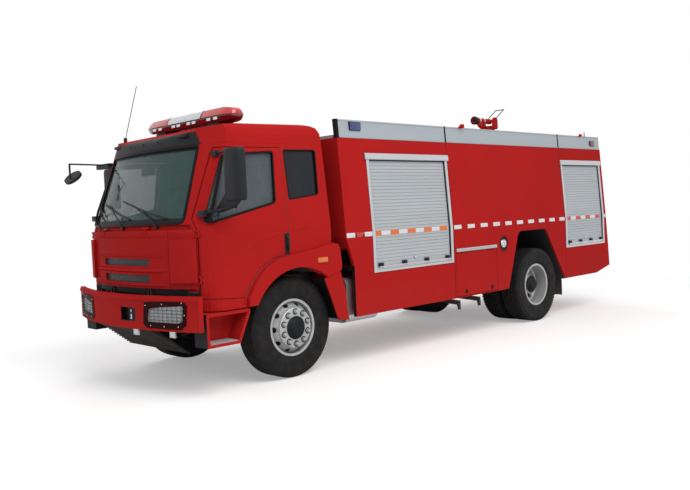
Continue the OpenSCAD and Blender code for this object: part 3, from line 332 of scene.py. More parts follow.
class Build:
    """Gathers several closed shapes into one piece, placed from the front axle."""

    def __init__(self):
        self.verts, self.faces = [], []

    def shape(self, verts, faces):
        k = len(self.verts)
        self.verts += [tuple(v) for v in verts]
        self.faces += [tuple(i + k for i in f) for f in faces]
        return self

    def from_bmesh(self, bm):
        bm.verts.index_update()
        self.shape([v.co for v in bm.verts], [[v.index for v in f.verts] for f in bm.faces])
        bm.free()
        return self

    def loft(self, loops):
        """Skin over loops of points, closed by its first and last loop."""
        n = len(loops[0])
        last = (len(loops) - 1) * n
        faces = [tuple(range(n)), tuple(range(last, last + n))]
        for j in range(0, last, n):
            faces += [(j + i, j + (i + 1) % n, j + n + (i + 1) % n, j + n + i) for i in range(n)]
        return self.shape([p for loop in loops for p in loop], faces)

    def prism(self, outline, place, d0, d1):
        """Outline between two depths; place(u, v, depth) gives the point."""
        return self.loft([[place(*p, d) for p in outline] for d in (d0, d1)])

    def box(self, x0, x1, y0, y1, z0, z1, c=0.0):
        """Box with its edges rounded by c."""
        x0, x1 = min(x0, x1), max(x0, x1)
        lo, hi = (x0, y0, z0), (x1, y1, z1)
        c = min([c] + [(b - a) / 2.01 for a, b in zip(lo, hi)])
        if c <= 0:
            return self.loft([[(x0, y0, z), (x1, y0, z), (x1, y1, z), (x0, y1, z)] for z in (z0, z1)])
        bm = bmesh.new()
        bmesh.ops.create_cube(bm, size=1.0)
        for v in bm.verts:
            v.co = Vector([a + (t + 0.5) * (b - a) for a, b, t in zip(lo, hi, v.co)])
        bmesh.ops.bevel(bm, geom=list(bm.edges), offset=c, segments=2, profile=0.6, affect="EDGES")
        return self.from_bmesh(bm)

    def block(self, x, y, z0, z1, half_x, half_y, c=0.0):
        """Box round an upright line at (x, y)."""
        return self.box(x - half_x, x + half_x, y - half_y, y + half_y, z0, z1, c)

    def lathe(self, profile, centre, axis="X", segs=32, s=1):
        """Turned shape: profile of (radius, offset along the axis, times s)."""
        verts, faces, n = [], [], len(profile)
        for c, d in round_points(segs):
            for r, t in profile:
                p = {"X": (s * t, r * c, r * d), "Y": (r * c, s * t, r * d), "Z": (r * c, r * d, s * t)}[axis]
                verts.append([a + b for a, b in zip(p, centre)])
        for i in range(segs):
            j = (i + 1) % segs
            faces += [(i * n + k, j * n + k, j * n + k + 1, i * n + k + 1) for k in range(n - 1)]
        return self.shape(verts, faces)

    def puck(self, r, t0, t1, centre, axis="X", segs=16, s=1):
        """Plain disc from t0 to t1 along an axis."""
        return self.lathe([(0, t0), (r, t0), (r, t1), (0, t1)], centre, axis, segs, s)

    def tube(self, pts, r, segs=10, smooth=0):
        """Round bar along points, with flat ends."""
        pts = [Vector(p) for p in pts]
        for _ in range(smooth):
            cut = [q for a, b in zip(pts, pts[1:]) for q in (a * 0.75 + b * 0.25, a * 0.25 + b * 0.75)]
            pts = [pts[0]] + cut + [pts[-1]]
        loops, side = [], None
        for i, p in enumerate(pts):
            d = (pts[min(i + 1, len(pts) - 1)] - pts[max(i - 1, 0)]).normalized()
            side = side or d.orthogonal().normalized()
            side = (side - d * side.dot(d)).normalized()
            up = d.cross(side)
            loops.append([p + (side * c + up * t) * r for c, t in round_points(segs)])
        return self.loft(loops)

    def shell(self, grid_out, grid_in):
        """Closed sheet between two grids of points of the same size."""
        m, n = len(grid_out), len(grid_out[0])
        o = m * n
        faces = []
        for i in range(m - 1):
            for j in range(n - 1):
                a, b, c, d = i * n + j, (i + 1) * n + j, (i + 1) * n + j + 1, i * n + j + 1
                faces += [(a, b, c, d), (d + o, c + o, b + o, a + o)]
        rim = [i * n for i in range(m)] + [(m - 1) * n + j for j in range(1, n)]
        rim += [i * n + n - 1 for i in range(m - 2, -1, -1)] + [j for j in range(n - 2, 0, -1)]
        faces += [(a, a + o, b + o, b) for a, b in zip(rim, rim[1:] + rim[:1])]
        return self.shape([p for grid in (grid_out, grid_in) for row in grid for p in row], faces)

    def sheet(self, place, us, vs, d0, d1):
        """Closed sheet between two depths; place(u, v, depth) gives the point."""
        return self.shell(*([[place(u, v, d) for u in us] for v in vs] for d in (d0, d1)))

    def ring(self, outer, inner, place, d0, d1):
        """Closed band between two outlines of the same length; place(u, v, depth) gives the point."""
        n = len(outer)
        verts = [place(*p, d) for d in (d0, d1) for loop in (outer, inner) for p in loop]
        walls = ((0, n), (n, 3 * n), (3 * n, 2 * n), (2 * n, 0))
        faces = [(a + i, a + (i + 1) % n, b + (i + 1) % n, b + i) for i in range(n) for a, b in walls]
        return self.shape(verts, faces)

    def mirrored(self):
        """The same shapes on the other side as well."""
        return self.shape([(-x, y, z) for x, y, z in self.verts], list(self.faces))

    def done(self, name, mat, body="chassis", flat=False, slot=None):
        """The new piece, riding on a body."""
        me = bpy.data.meshes.new(name)
        me.from_pydata([(x, y + FA, z) for x, y, z in self.verts], [], self.faces)
        bm = bmesh.new()
        bm.from_mesh(me)
        bmesh.ops.remove_doubles(bm, verts=bm.verts, dist=1e-5)
        bmesh.ops.recalc_face_normals(bm, faces=bm.faces)
        bm.to_mesh(me)
        bm.free()
        me.materials.append(mat)
        obj = bpy.data.objects.new(name, me)
        SCENE.collection.objects.link(obj)
        if not flat:
            me.shade_smooth()
            me.set_sharp_from_angle(angle=math.radians(38))
        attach(obj, body)
        slot = slot or SLOT_OF.get(mat.name)
        return obj


TREES = {}


def cast(nodes, origin, direction=(0, 1, 0)):
    """First point on some nodes along a ray, from the front axle."""
    hits = []
    for n in nodes:
        if n not in TREES:
            me = NODES[n].data
            TREES[n] = BVHTree.FromPolygons([v.co for v in me.vertices], [p.vertices for p in me.polygons])
        point, _, _, far = TREES[n].ray_cast(Vector(origin) + Vector((0, FA, 0)), Vector(direction))
        if point is not None:
            hits.append((far, point - Vector((0, FA, 0))))
    return min(hits, key=lambda h: h[0])[1]


def shrink(pts, g):
    """Outline moved inwards by g along its corner bisectors."""
    n, out = len(pts), []
    area = sum(pts[i][0] * pts[(i + 1) % n][1] - pts[(i + 1) % n][0] * pts[i][1] for i in range(n))
    s = 1 if area > 0 else -1
    for i in range(n):
        p, a, b = Vector(pts[i]), Vector(pts[i - 1]), Vector(pts[(i + 1) % n])
        u, v = (p - a).normalized(), (b - p).normalized()
        n1, n2 = Vector((-u.y, u.x)) * s, Vector((-v.y, v.x)) * s
        m = (n1 + n2).normalized()
        out.append(tuple(p + m * (g / max(0.35, m.dot(n1)))))
    return out


def split(outline, n=1, step=None):
    """Each edge of an outline in n pieces, or in as many pieces as it holds steps."""
    out = []
    for a, c in zip(outline, outline[1:] + outline[:1]):
        m = max(1, int(math.hypot(c[0] - a[0], c[1] - a[1]) / step)) if step else n
        out += [(a[0] + (c[0] - a[0]) * k / m, a[1] + (c[1] - a[1]) * k / m) for k in range(m)]
    return out


def offset_line(pts, g):
    """Open line moved sideways by g."""
    out = []
    for i, p in enumerate(pts):
        d = (Vector(pts[min(i + 1, len(pts) - 1)]) - Vector(pts[max(i - 1, 0)])).normalized()
        out.append((p[0] - d.y * g, p[1] + d.x * g))
    return out


# outer faces of the truck as the CAD draws them

HW, NOSE, DEEP = 1.2, -1.295, 0.4          # cab: half width, foremost line and depth of the nose
RAKE, RAKE_Z = math.radians(19.8), 1.6     # windscreen's slope and where it starts
BEND_Y, BEND_Z, BEND_RISE = -0.45, 1.55, math.tan(math.radians(1.4))     # line where the cab sides bend
LEAN, LEAN_H = 0.095, 0.87                 # how far they lean in above it
BODY_HW, BODY_BEND, BODY_LEAN = 1.245, 1.44, 0.07    # superstructure: half width, bend and slope above it
BUMPER_Y, BUMPER_SWEEP = -1.43, 0.22


def nose(x, z, out=0.0):
    """Point on the front of the cab, moved outwards."""
    k = max(0.0, 1 - (x / (HW + out)) ** 2)
    y = NOSE + DEEP - (DEEP + out) * math.sqrt(k)
    raked = NOSE + (y - NOSE) / math.cos(RAKE) + (z - RAKE_Z) * math.tan(RAKE)
    return (x, max(y, raked), z)


def flank(y, z, out=0.0):
    """Point on the side of the cab, moved outwards."""
    bend = BEND_Z + BEND_RISE * (y - BEND_Y)
    x = HW - LEAN * min(max((z - bend) / LEAN_H, 0), 1) + out
    front = NOSE + DEEP
    if y < front:
        x = min(x, (HW + out) * math.sqrt(max(0.0, 1 - ((front - y) / (DEEP + out)) ** 2)))
    return (x, y, z)


def body_x(z):
    return BODY_HW - BODY_LEAN * max(0.0, z - BODY_BEND)


def on_body(y, z, out):
    """Point on the side of the superstructure, moved outwards."""
    return (body_x(z) + out, y, z)


def on_bumper(x, z, back=0.0):
    """Point on the face of the bumper, moved backwards."""
    return (x, BUMPER_Y + BUMPER_SWEEP * (x / HW) ** 2 + back, z)


def at_y(x, z, y):
    return (x, y, z)


def at_x(y, z, x):
    return (x, y, z)


# CAD nodes take their finish

def finish(node, test, mat=trim):
    """Faces of a node for which test(centre from the front axle, normal) holds take another finish."""
    me = NODES[node].data
    me.materials.append(mat)
    for p in me.polygons:
        if test(p.center - Vector((0, FA, 0)), p.normal):
            p.material_index = len(me.materials) - 1


for row in frame["record"]["subparts"]:
    node = NODES[row["node"]]
    node.data.materials.clear()
    node.data.materials.append(BY_NODE.get(row["node"]) or SLOTS[row["material_slot"]][0])
    node.data.shade_smooth()
    node.data.set_sharp_from_angle(angle=math.radians(30))
    node.modifiers.new("even_normals", "WEIGHTED_NORMAL").keep_sharp = True


CAB_MIDDLE = Vector((0, -0.35, 1.85))
INNER_TWIN, HUB_R = 0.76, 0.215


def faces_inside(c, n):
    return n.dot((CAB_MIDDLE - c).normalized()) > 0.0


def shaded_fender_faces(c, n):
    """Inner faces of the wheel guards, and the front and inner walls of the step boxes: dark trim painted on
    as shade.
    """
    to_wheel = Vector((0, -c.y, AXLE_Z - c.z)).normalized()
    guard = c.y > 0.2 and n.dot(to_wheel) > 0.3
    return guard or (c.y < -1.0 and n.y < -0.7) or (c.y < 0 and n.x * c.x < -0.3)


# lower front edge of the cab above the bumper takes dark trim: painted shade
def shaded_cab_lower_edge(c, n):
    return c.z < 1.05 and c.y < -1.05 and (abs(c.x) < 0.5 or (n.y < -0.3 and abs(c.x) < 1.06))


# recessed middle of the rear wheels takes darker machinery grey: painted shade in the dish
def shaded_rear_dish(c, _):
    return INNER_TWIN < abs(c.x) < 0.97 and math.hypot(c.y - REAR_Y, c.z - AXLE_Z) < HUB_R


for lined in ("cab_shell", "cab_roof", "door_left", "door_right"):
    finish(lined, faces_inside, grey_trim)
finish("cab_shell", shaded_cab_lower_edge)
# lower front wall of the superstructure, behind the cab, takes dark trim: painted shade
finish("body_front", lambda c, n: n.y < -0.7 and c.z < 1.12)
finish("chassis_fenders", shaded_fender_faces)
for s, side in SIDES:
    # inner sides of the wheels take dark trim: painted shade
    finish("wheel_front_" + side, lambda c, n: abs(c.x) < 0.95)
    finish("wheels_rear_" + side, lambda c, n: abs(c.x) < INNER_TWIN)
    finish("wheels_rear_" + side, shaded_rear_dish, machinery)

# camera, light and floor

cam = bpy.data.objects.new("camera", bpy.data.cameras.new("camera"))
SCENE.collection.objects.link(cam)
SCENE.camera = cam
# solved from the photograph
LENS, SENSOR, CAM_AT = 39.58, 36.0, (7.127, -7.686, 1.724)
YAW, PITCH, ROLL = (math.radians(a) for a in (45.81, -2.67, 2.56))
cam.data.lens, cam.data.sensor_width, cam.data.sensor_fit = LENS, SENSOR, "HORIZONTAL"
cam.data.clip_start, cam.data.clip_end = 0.1, 200.0
ahead = Vector((-math.sin(YAW) * math.cos(PITCH), math.cos(YAW) * math.cos(PITCH), math.sin(PITCH)))
across = Vector((math.cos(YAW), math.sin(YAW), 0))
down = ahead.cross(across)
right = across * math.cos(ROLL) + down * math.sin(ROLL)
down = down * math.cos(ROLL) - across * math.sin(ROLL)
turn = Matrix((right, -down, -ahead)).transposed()
cam.matrix_world = Matrix.Translation(CAM_AT) @ turn.to_4x4()

SCENE.view_settings.view_transform = "Standard"
world = bpy.data.worlds.new("studio")
SCENE.world = world
world.use_nodes = True
sky_tree = world.node_tree
sky = sky_tree.nodes["Background"]
sky.inputs["Color"].default_value = (0.93, 0.96, 1.0, 1)
sky.inputs["Strength"].default_value = 0.46
# the backdrop is white where it is seen, straight or by reflection
white = sky_tree.nodes.new("ShaderNodeBackground")
white.inputs["Color"].default_value = (1, 1, 1, 1)
path = sky_tree.nodes.new("ShaderNodeLightPath")
seen = path.outputs["Is Camera Ray"]
for ray in ("Is Glossy Ray", "Is Transmission Ray"):
    either = sky_tree.nodes.new("ShaderNodeMath")
    either.operation = "MAXIMUM"
    sky_tree.links.new(seen, either.inputs[0])
    sky_tree.links.new(path.outputs[ray], either.inputs[1])
    seen = either.outputs[0]
choose = sky_tree.nodes.new("ShaderNodeMixShader")
for output, socket in zip((seen, sky.outputs[0], white.outputs[0]), choose.inputs):
    sky_tree.links.new(output, socket)
sky_tree.links.new(choose.outputs[0], sky_tree.nodes["World Output"].inputs["Surface"])


def area(name, at, to, size, power, colour=(1, 1, 1), glossy=True):
    """Square lamp at one point, looking at another."""
    light = bpy.data.lights.new(name, "AREA")
    light.shape, light.size, light.energy, light.color = "SQUARE", size, power, colour
    lamp = bpy.data.objects.new(name, light)
    SCENE.collection.objects.link(lamp)
    lamp.location = at
    lamp.rotation_euler = (Vector(to) - Vector(at)).to_track_quat("-Z", "Y").to_euler()
    lamp.visible_glossy = glossy


area("key", (9, -3, 11), (0, -0.3, 1.2), 9, 1080, (1.0, 0.98, 0.95))
area("front", (-2, -13, 7), (0, -3, 1.2), 7, 140, glossy=False)
area("far", (-9, 4, 9), (0, 0, 1.2), 8, 450, glossy=False)

floor = bpy.data.objects.new("floor", bpy.data.meshes.new("floor"))
FLOOR_HALF, FADE_FROM, FADE_TO, FLOOR_GLOW = 90, 4.5, 9.0, 0.3
corners = [(x * FLOOR_HALF, y * FLOOR_HALF, 0) for x, y in ((-1, -1), (1, -1), (1, 1), (-1, 1))]
floor.data.from_pydata(corners, [], [(0, 1, 2, 3)])
SCENE.collection.objects.link(floor)
ground = Nodes("floor_paint")
ground.feed(Base_Color=ground.ramp(ground.noise(0.6), (0.3, srgb(236, 236, 235)), (0.7, srgb(244, 244, 243))))
ground.put(Roughness=0.9, Emission_Color=(1, 1, 1, 1))
glow_seen = ground.new("ShaderNodeMath", operation="MULTIPLY")
ground.link(ground.new("ShaderNodeLightPath").outputs["Is Camera Ray"], glow_seen.inputs[0])
glow_seen.inputs[1].default_value = FLOOR_GLOW
ground.feed(Emission_Strength=glow_seen.outputs[0])
# the floor fades out away from the truck
reach = ground.new("ShaderNodeVectorMath", operation="LENGTH")
ground.link(ground.place, reach.inputs[0])
fade = ground.new("ShaderNodeMixShader")
ground.link(ground.span(reach.outputs["Value"], 0.0, 1.0, FADE_FROM, FADE_TO), fade.inputs["Fac"])
ground.link(ground.bsdf.outputs[0], fade.inputs[1])
ground.link(ground.new("ShaderNodeBsdfTransparent").outputs[0], fade.inputs[2])
ground.link(fade.outputs[0], ground.tree.nodes["Material Output"].inputs["Surface"])
floor.data.materials.append(ground.mat)

# wheels: tyres with tread, front disc, nuts and caps

TYRE_R, TYRE_W, RIM_R = 0.525, 0.294, 0.291
WALL = ((0.2, 0.465), (0.24, 0.478), (0.28, 0.474), (0.48, 0.498), (0.7, 0.49), (0.74, 0.497), (0.78, 0.484))
SHOULDER = ((0.034, 0.468), (0.012, 0.425), (0.001, 0.38))
GROOVES = (-0.235, -0.08, 0.08, 0.235)
GROOVE = ((0.0, -0.02), (0.013, -0.014), (0.013, 0.014), (0.0, 0.02))
CLEAT, CLEAT_HALF = ((0.030, 0.455), (0.004, 0.452), (0.0005, 0.40), (0.018, 0.40)), 0.0125


def tyre(b, x, y, cleats, segs=72):
    """Tyre with grooves round the tread and beads on its walls; a driven one has cleats on its shoulders."""
    w = TYRE_W
    prof = [(RIM_R, -0.37 * w), (RIM_R + 0.02, -0.42 * w)]
    prof += [(RIM_R + k * (TYRE_R - RIM_R), -t * w) for k, t in WALL]
    prof += [(TYRE_R - k, -t * w) for k, t in SHOULDER]
    other_side = [(r, -t) for r, t in reversed(prof)]
    prof += [(TYRE_R - k, (g + t) * w) for g in GROOVES for k, t in GROOVE] + other_side
    b.lathe(prof + [prof[0]], (x, y, AXLE_Z), "X", segs)
    for s in (LEFT, RIGHT) if cleats else ():
        for c, d in round_points(segs, 0.5):
            b.loft([[(x + s * t * w, y + c * (TYRE_R - k) - d * e, AXLE_Z + d * (TYRE_R - k) + c * e)
                     for k, t in CLEAT] for e in (-CLEAT_HALF, CLEAT_HALF)])


def nut(b, at, s, r=0.021, h=0.022):
    """Wheel nut on a washer, with the bolt's end, pointing along s."""
    bolt = [(0, h), (r * 0.55, h), (r * 0.55, h * 1.5), (r * 0.4, h * 1.6), (0, h * 1.6)]
    b.lathe([(0, 0), (r, 0), (r, h), (r * 0.8, h * 1.25), (0, h * 1.25)], at, "X", 6, s)
    b.puck(r * 1.08, 0, 0.005, at, "X", 16, s)
    b.lathe(bolt, at, "X", 12, s)


HAND_HOLES, HOLE_R = 10, 0.029
CONE_IN, CONE_OUT, CONE_THICK = (0.213, 1.118), (0.270, 1.030), 0.006
# dark cone that paints the shade seen through the hand holes
SHADE_CONE_BEHIND_HOLES = ((0.210, 1.108), (0.268, 1.020), (0.268, 1.016), (0.208, 1.106), (0.210, 1.108))
FLANGE = ((0.118, 1.126), (0.118, 1.136), (0.198, 1.136), (0.207, 1.133), (0.2125, 1.126), (0.2135, 1.116),
          (0.207, 1.112), (0.200, 1.126), (0.118, 1.126))
NUTS, CAP_BOLTS, CAP_R = 10, 6, 0.088
CAP = ((0, -0.042), (CAP_R + 0.034, -0.042), (CAP_R + 0.034, -0.034), (CAP_R + 0.016, -0.028),
       (CAP_R, -0.004), (CAP_R * 0.86, 0.008), (CAP_R * 0.3, 0.010), (0, 0.010))


def holed_cone(b, s):
    """Sloping part of the front wheel's disc, with round hand holes cut through it."""
    slant = math.dist(CONE_IN, CONE_OUT)
    mid = [(p + q) / 2 for p, q in zip(CONE_IN, CONE_OUT)]
    slope = [(q - p) / slant for p, q in zip(CONE_IN, CONE_OUT)]
    half_a, half_l = math.pi / HAND_HOLES * mid[0], slant / 2
    corner = math.atan2(half_l, half_a)
    quarter = [corner, math.pi - corner, math.pi + corner, 2 * math.pi - corner, 2 * math.pi + corner]
    turns = [t for p, q in zip(quarter, quarter[1:]) for t in steps(p, q, 8)[:-1]]
    n = len(turns)
    for i in range(HAND_HOLES):
        verts, on_rim, faces = [], [], []
        for t in turns:
            reach = min(half_a / max(1e-6, abs(math.cos(t))), half_l / max(1e-6, abs(math.sin(t))))
            on_rim.append(abs(reach * math.sin(t)) > half_l - 1e-6)
            for depth in (0, CONE_THICK):
                for q in (reach, HOLE_R):
                    along = q * math.sin(t)
                    a = 2 * math.pi * i / HAND_HOLES + q * math.cos(t) / mid[0]
                    r = mid[0] + slope[0] * along
                    x = mid[1] + slope[1] * along - depth
                    verts.append((s * x, r * math.cos(a), AXLE_Z + r * math.sin(a)))
        for k in range(n):
            p, q = 4 * k, 4 * ((k + 1) % n)
            faces += [(p, q, q + 1, p + 1), (p + 2, p + 3, q + 3, q + 2), (p + 1, q + 1, q + 3, p + 3)]
            if on_rim[k] and on_rim[(k + 1) % n]:
                faces.append((p, p + 2, q + 2, q))
        b.shape(verts, faces)


for s, side in SIDES:
    front, rear = "wheel_front_" + side, "wheels_rear_" + side
    disc = Build()
    holed_cone(disc, s)
    disc.lathe(FLANGE, (0, 0, AXLE_Z), "X", 80, s).done("wheel_disc_" + side, wheel_silver, front)
    for body, y, xs, tread, node in ((front, 0, (0.965,), "tyre_tread_front_", "tyre_front_"),
                                     (rear, REAR_Y, (1.090, 0.752), "tyre_tread_rear_", "tyres_rear_")):
        b = Build()
        for x in xs:
            tyre(b, s * x, y, body == rear)
        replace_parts(b.done(tread + side, tyre_rubber, body), node + side)
    # nuts on the flange, each on a dark ring that is painted shadow round the nut, and the cap with its bolts
    for body, y, face, pitch_r, cap, tag in ((front, 0, 1.136, 0.168, 1.172, "front_"),
                                             (rear, REAR_Y, 0.938, 0.164, 1.166, "rear_")):
        nuts, caps = Build(), Build()
        for c, d in round_points(NUTS, 0.5):
            at = (s * face, y + pitch_r * c, AXLE_Z + pitch_r * d)
            nut(nuts, at, s)
            caps.puck(0.034, 0, 0.003, at, "X", 20, s)
        nuts.done("wheel_nuts_" + tag + side, wheel_silver, body)
        caps.lathe(CAP, (s * cap, y, AXLE_Z), "X", 40, s)
        for c, d in round_points(CAP_BOLTS):
            r = CAP_R * 0.62
            caps.puck(0.008, 0, 0.014, (s * cap, y + r * c, AXLE_Z + r * d), "X", 6, s)
        if body == front:
            # dark cone behind the hand holes, painted shade seen through them
            caps.lathe(SHADE_CONE_BEHIND_HOLES, (0, y, AXLE_Z), "X", 48, s)
        caps.done("hub_cap_" + tag + side, trim, body)

# tape along the superstructure

TAPE_Z, TAPE_H, TAPE_L, TAPE_PITCH = BODY_BEND, 0.025, 0.15, 0.3
ON_PANEL, ON_SHUTTER = 0.001, -0.0070


def pitches(first, n, pitch=TAPE_PITCH):
    return [first + pitch * i for i in range(n)]


def tape_run(name, mat, centres, lift, length=TAPE_L):
    b = Build()
    zs = (TAPE_Z - TAPE_H, TAPE_Z, TAPE_Z + TAPE_H)
    for yc in centres:
        ys = (yc - length / 2, yc + length / 2)
        b.sheet(lambda z, y, out: on_body(y, z, out), zs, ys, lift + 0.0015, lift - 0.001)
    b.mirrored().done(name, mat, flat=True)


tape_run("tape_white_body", white_tape, [0.765, 1.018] + pitches(2.66, 10, 0.284), ON_PANEL)
tape_run("tape_red_body", red_tape, [0.8925], ON_PANEL)
tape_run("tape_white_end", white_tape, [6.560], ON_PANEL, 0.06)
tape_run("tape_white_shutter", white_tape, pitches(1.325, 4) + pitches(5.565, 3), ON_SHUTTER)
tape_run("tape_orange_shutter", orange_tape, pitches(1.175, 5), ON_SHUTTER)
tape_run("tape_red_shutter", red_tape, pitches(5.415, 4), ON_SHUTTER)

# roller shutters: hoods, seals, lift bars on brackets, and the lock

SHUTTERS = ((1.095, 2.55, 2.335), (5.312, 6.52, 2.312))      # front, rear and top of each opening
HOOD = ((0.004, 0.014), (0.016, 0.012), (0.026, -0.006), (0.028, -0.055), (0.020, -0.062), (0.004, -0.058))
LOCK = ((0, 0), (0.019, 0), (0.019, 0.009), (0.015, 0.011), (0, 0.011))
hood, brush, bar, bracket = (Build() for _ in range(4))
for y0, y1, z1 in SHUTTERS:
    x = body_x(z1 - 0.03)
    hood.prism([(x + u, z1 + v) for u, v in HOOD], at_y, y0 - 0.03, y1 + 0.012)
    # brush seals inside the guides and under the hood
    for ys in ((y0 + 0.0455, y0 + 0.060), (y1 - 0.060, y1 - 0.0455)):
        brush.sheet(on_body, ys, (1.03, BODY_BEND, z1 - 0.062), -0.004, -0.0095)
    brush.box(x - 0.010, x + 0.002, y0 + 0.046, y1 - 0.046, z1 - 0.074, z1 - 0.060)
    for y in steps(y0 + 0.12, y1 - 0.12, 3):
        bracket.box(1.2405, 1.252, y - 0.045, y + 0.045, 1.068, 1.104, 0.006)
        bracket.box(1.2405, 1.272, y - 0.022, y + 0.022, 1.046, 1.098, 0.008)
    bar.tube([(1.263, y0 + 0.075, 1.058), (1.263, y1 - 0.075, 1.058)], 0.011, 12)
    bar.lathe(LOCK, (1.24, (y0 + y1) / 2, 1.125), "X", 20)
    bar.prism([(y0 + 0.05, 1.034), (y1 - 0.05, 1.034), (y1 - 0.05, 1.052), (y0 + 0.05, 1.046)],
              at_x, 1.2405, 1.2445)
hood.mirrored().done("shutter_hoods", alloy)
brush.mirrored().done("shutter_seals", seal)
bar.mirrored().done("shutter_lift_bars", polished)
bracket.mirrored().done("shutter_brackets", black_plastic)

# black end caps and joints of the parapets, and seam strips down the sides

PARAPET = (2.508, 2.714)
SKIRT_Z = 0.542
joint, edge = Build(), Build()
for y0, y1 in ((0.676, 0.712), (2.560, 2.586), (5.285, 5.311)):
    low, high = (body_x(z) for z in PARAPET)
    joint.prism([(low + 0.003, PARAPET[0]), (high + 0.003, PARAPET[1]), (high - 0.049, PARAPET[1]),
                 (low - 0.044, PARAPET[0])], at_y, y0, y1)
for y in (2.573, 5.298):
    joint.sheet(on_body, (y - 0.0038, y + 0.0038), (0.545, BODY_BEND, PARAPET[0]), -0.006, -0.030)
joint.mirrored().done("parapet_joints", seal, flat=True)

# folded upper and lower edges of the parapets
for y0, y1 in ((0.714, 2.558), (2.588, 5.283), (5.313, 6.584)):
    for z, half in ((2.516, 0.007), (2.700, 0.008)):
        fold = ((0, -half), (0.005, 0.003 - half), (0.005, half - 0.003), (0, half))
        edge.prism([(body_x(z) + u, z + v) for u, v in fold], at_y, y0, y1)
edge.mirrored().done("parapet_edges", parapet_alloy, flat=True)


def marker(name, y, z, w, h, mat):
    """Side lamp: dark base and a domed lens."""
    for part, m, x0, x1, rim, c in (("_base", trim, -0.012, 0.007, 0.006, 0.005),
                                    ("_lens", mat, 0.004, 0.022, 0.0, 0.010)):
        a, b = w / 2 + rim, h / 2 + rim
        block = Build().box(body_x(z) + x0, body_x(z) + x1, y - a, y + a, z - b, z + b, c)
        block.mirrored().done(name + part, m)


marker("blue_marker", 0.964, 2.64, 0.17, 0.085, blue_lens)
marker("red_marker", 6.347, 2.60, 0.14, 0.075, dull_lens)

# rail above the side flap, the filler's collar and cap, and hooks on the flap

RAIL = ((1.2445, 1.123), (1.256, 1.124), (1.259, 1.134), (1.252, 1.143), (1.259, 1.152), (1.256, 1.165),
        (1.2445, 1.166))
COLLAR = ((0.100, 1.238), (0.100, 1.252), (0.104, 1.255), (0.112, 1.251), (0.115, 1.2445), (0.103, 1.2445),
          (0.100, 1.238))
FILLER_CAP = ((0, 1.2405), (0.056, 1.2405), (0.058, 1.247), (0.052, 1.256), (0.020, 1.259), (0, 1.259))
FILLER = (0, 3.66, 1.168)
Build().prism(RAIL, at_y, 2.61, 3.49).mirrored().done("flap_rail", alloy, flat=True)
Build().lathe(COLLAR, FILLER, "X", 48).mirrored().done("filler_lip", red_paint)
# black disc on the floor of the filler's recess: painted shade
Build().puck(0.099, 1.2385, 1.2410, FILLER, "X", 40).mirrored().done("filler_recess_shade", trim, flat=True)
cap = Build().lathe(FILLER_CAP, FILLER)
for a in (0.6, 0.6 + math.pi / 2):
    c, d = 0.050 * math.cos(a), 0.050 * math.sin(a)
    cap.tube([(1.258, FILLER[1] + k * c, FILLER[2] + k * d) for k in (-1, 1)], 0.007, 8)
cap.mirrored().done("filler_cap", polished)
for s, side in SIDES:
    hook = Build()
    for y in (2.79, 3.354):
        hook.block(s * 1.2455, y, 0.585, 0.635, 0.003, 0.016)
        bend = ((1.247, 0.630), (1.266, 0.618), (1.268, 0.600), (1.256, 0.588))
        hook.tube([(s * x, y, z) for x, z in bend], 0.006, 8, 2)
    hook.done("flap_hooks_" + side, trim, "side_flap_" + side)

# lip round the rear wheel arch, on the skirt's face, and the liner inside

ARCH = [(REAR_Y + y, z) for y, z in (
    (-0.768, SKIRT_Z), (-0.52, 1.23), (-0.50, 1.275), (-0.46, 1.31), (-0.41, 1.32),
    (0.17, 1.32), (0.22, 1.31), (0.26, 1.275), (0.286, 1.23), (0.742, SKIRT_Z))]
lines = [ARCH, offset_line(ARCH, 0.045), offset_line(ARCH, 0.062)]
lip = Build().shell(*([[(x, y, max(z, SKIRT_Z)) for y, z in line] for x, line in zip(xs, lines)]
                      for xs in ((1.262, 1.258, 1.2455), (1.2449,) * 3)))
lip.mirrored().done("arch_lips", red_paint, flat=True)
liner = Build().shell(*([[(x, y, z) for y, z in offset_line(ARCH, g)] for x in (0.62, 1.240)]
                        for g in (-0.003, -0.008)))
liner.mirrored().done("arch_liners", flap_rubber, flat=True)

# chequer plate on the roof between the parapets
deck = Build()
for y0, y1 in ((0.80, 2.55), (2.60, 5.00), (5.48, 6.56)):
    deck.box(-1.08, 1.08, y0, y1, 2.5095, 2.5125)
deck.done("roof_tread", alloy_tread, flat=True)

# cab front: visor with its lamps

AHEAD, DISC_Z, SOCKET_Z = -2.0, 2.49, 2.525
rows = [[cast(("cab_roof", "cab_shell"), (x * (1 - 0.06 * (z - 2.43) / 0.07), AHEAD, z))
         for x in steps(-0.86, 0.86, 28)] for z in (2.4206, 2.445, 2.47, 2.498, 2.526, 2.552)]
visor = Build().shell([[(p.x, p.y - 0.005, p.z + 0.001) for p in row] for row in rows],
                      [[(p.x, p.y + 0.004, p.z) for p in row] for row in rows])
visor.done("visor_band", trim, "cab")
VISOR_DISC = ((0, -0.012), (0.022, -0.012), (0.027, -0.006), (0.027, 0.004), (0, 0.004))
discs, sockets = Build(), Build()
for x in (-0.34, -0.06, 0.22):
    discs.lathe(VISOR_DISC, cast(("cab_roof",), (x, AHEAD, DISC_Z)), "Y", 24)
for x in (-0.74, 0.62):
    y = cast(("cab_roof",), (x, AHEAD, SOCKET_Z)).y
    sockets.block(x, y - 0.0125, SOCKET_Z - 0.016, SOCKET_Z + 0.016, 0.07, 0.0175, 0.010)
discs.done("visor_discs", dark_window, "cab")
sockets.done("visor_markers", black_plastic, "cab")

# painted cowl set back under the windscreen, the rubber round the glass and its dark border

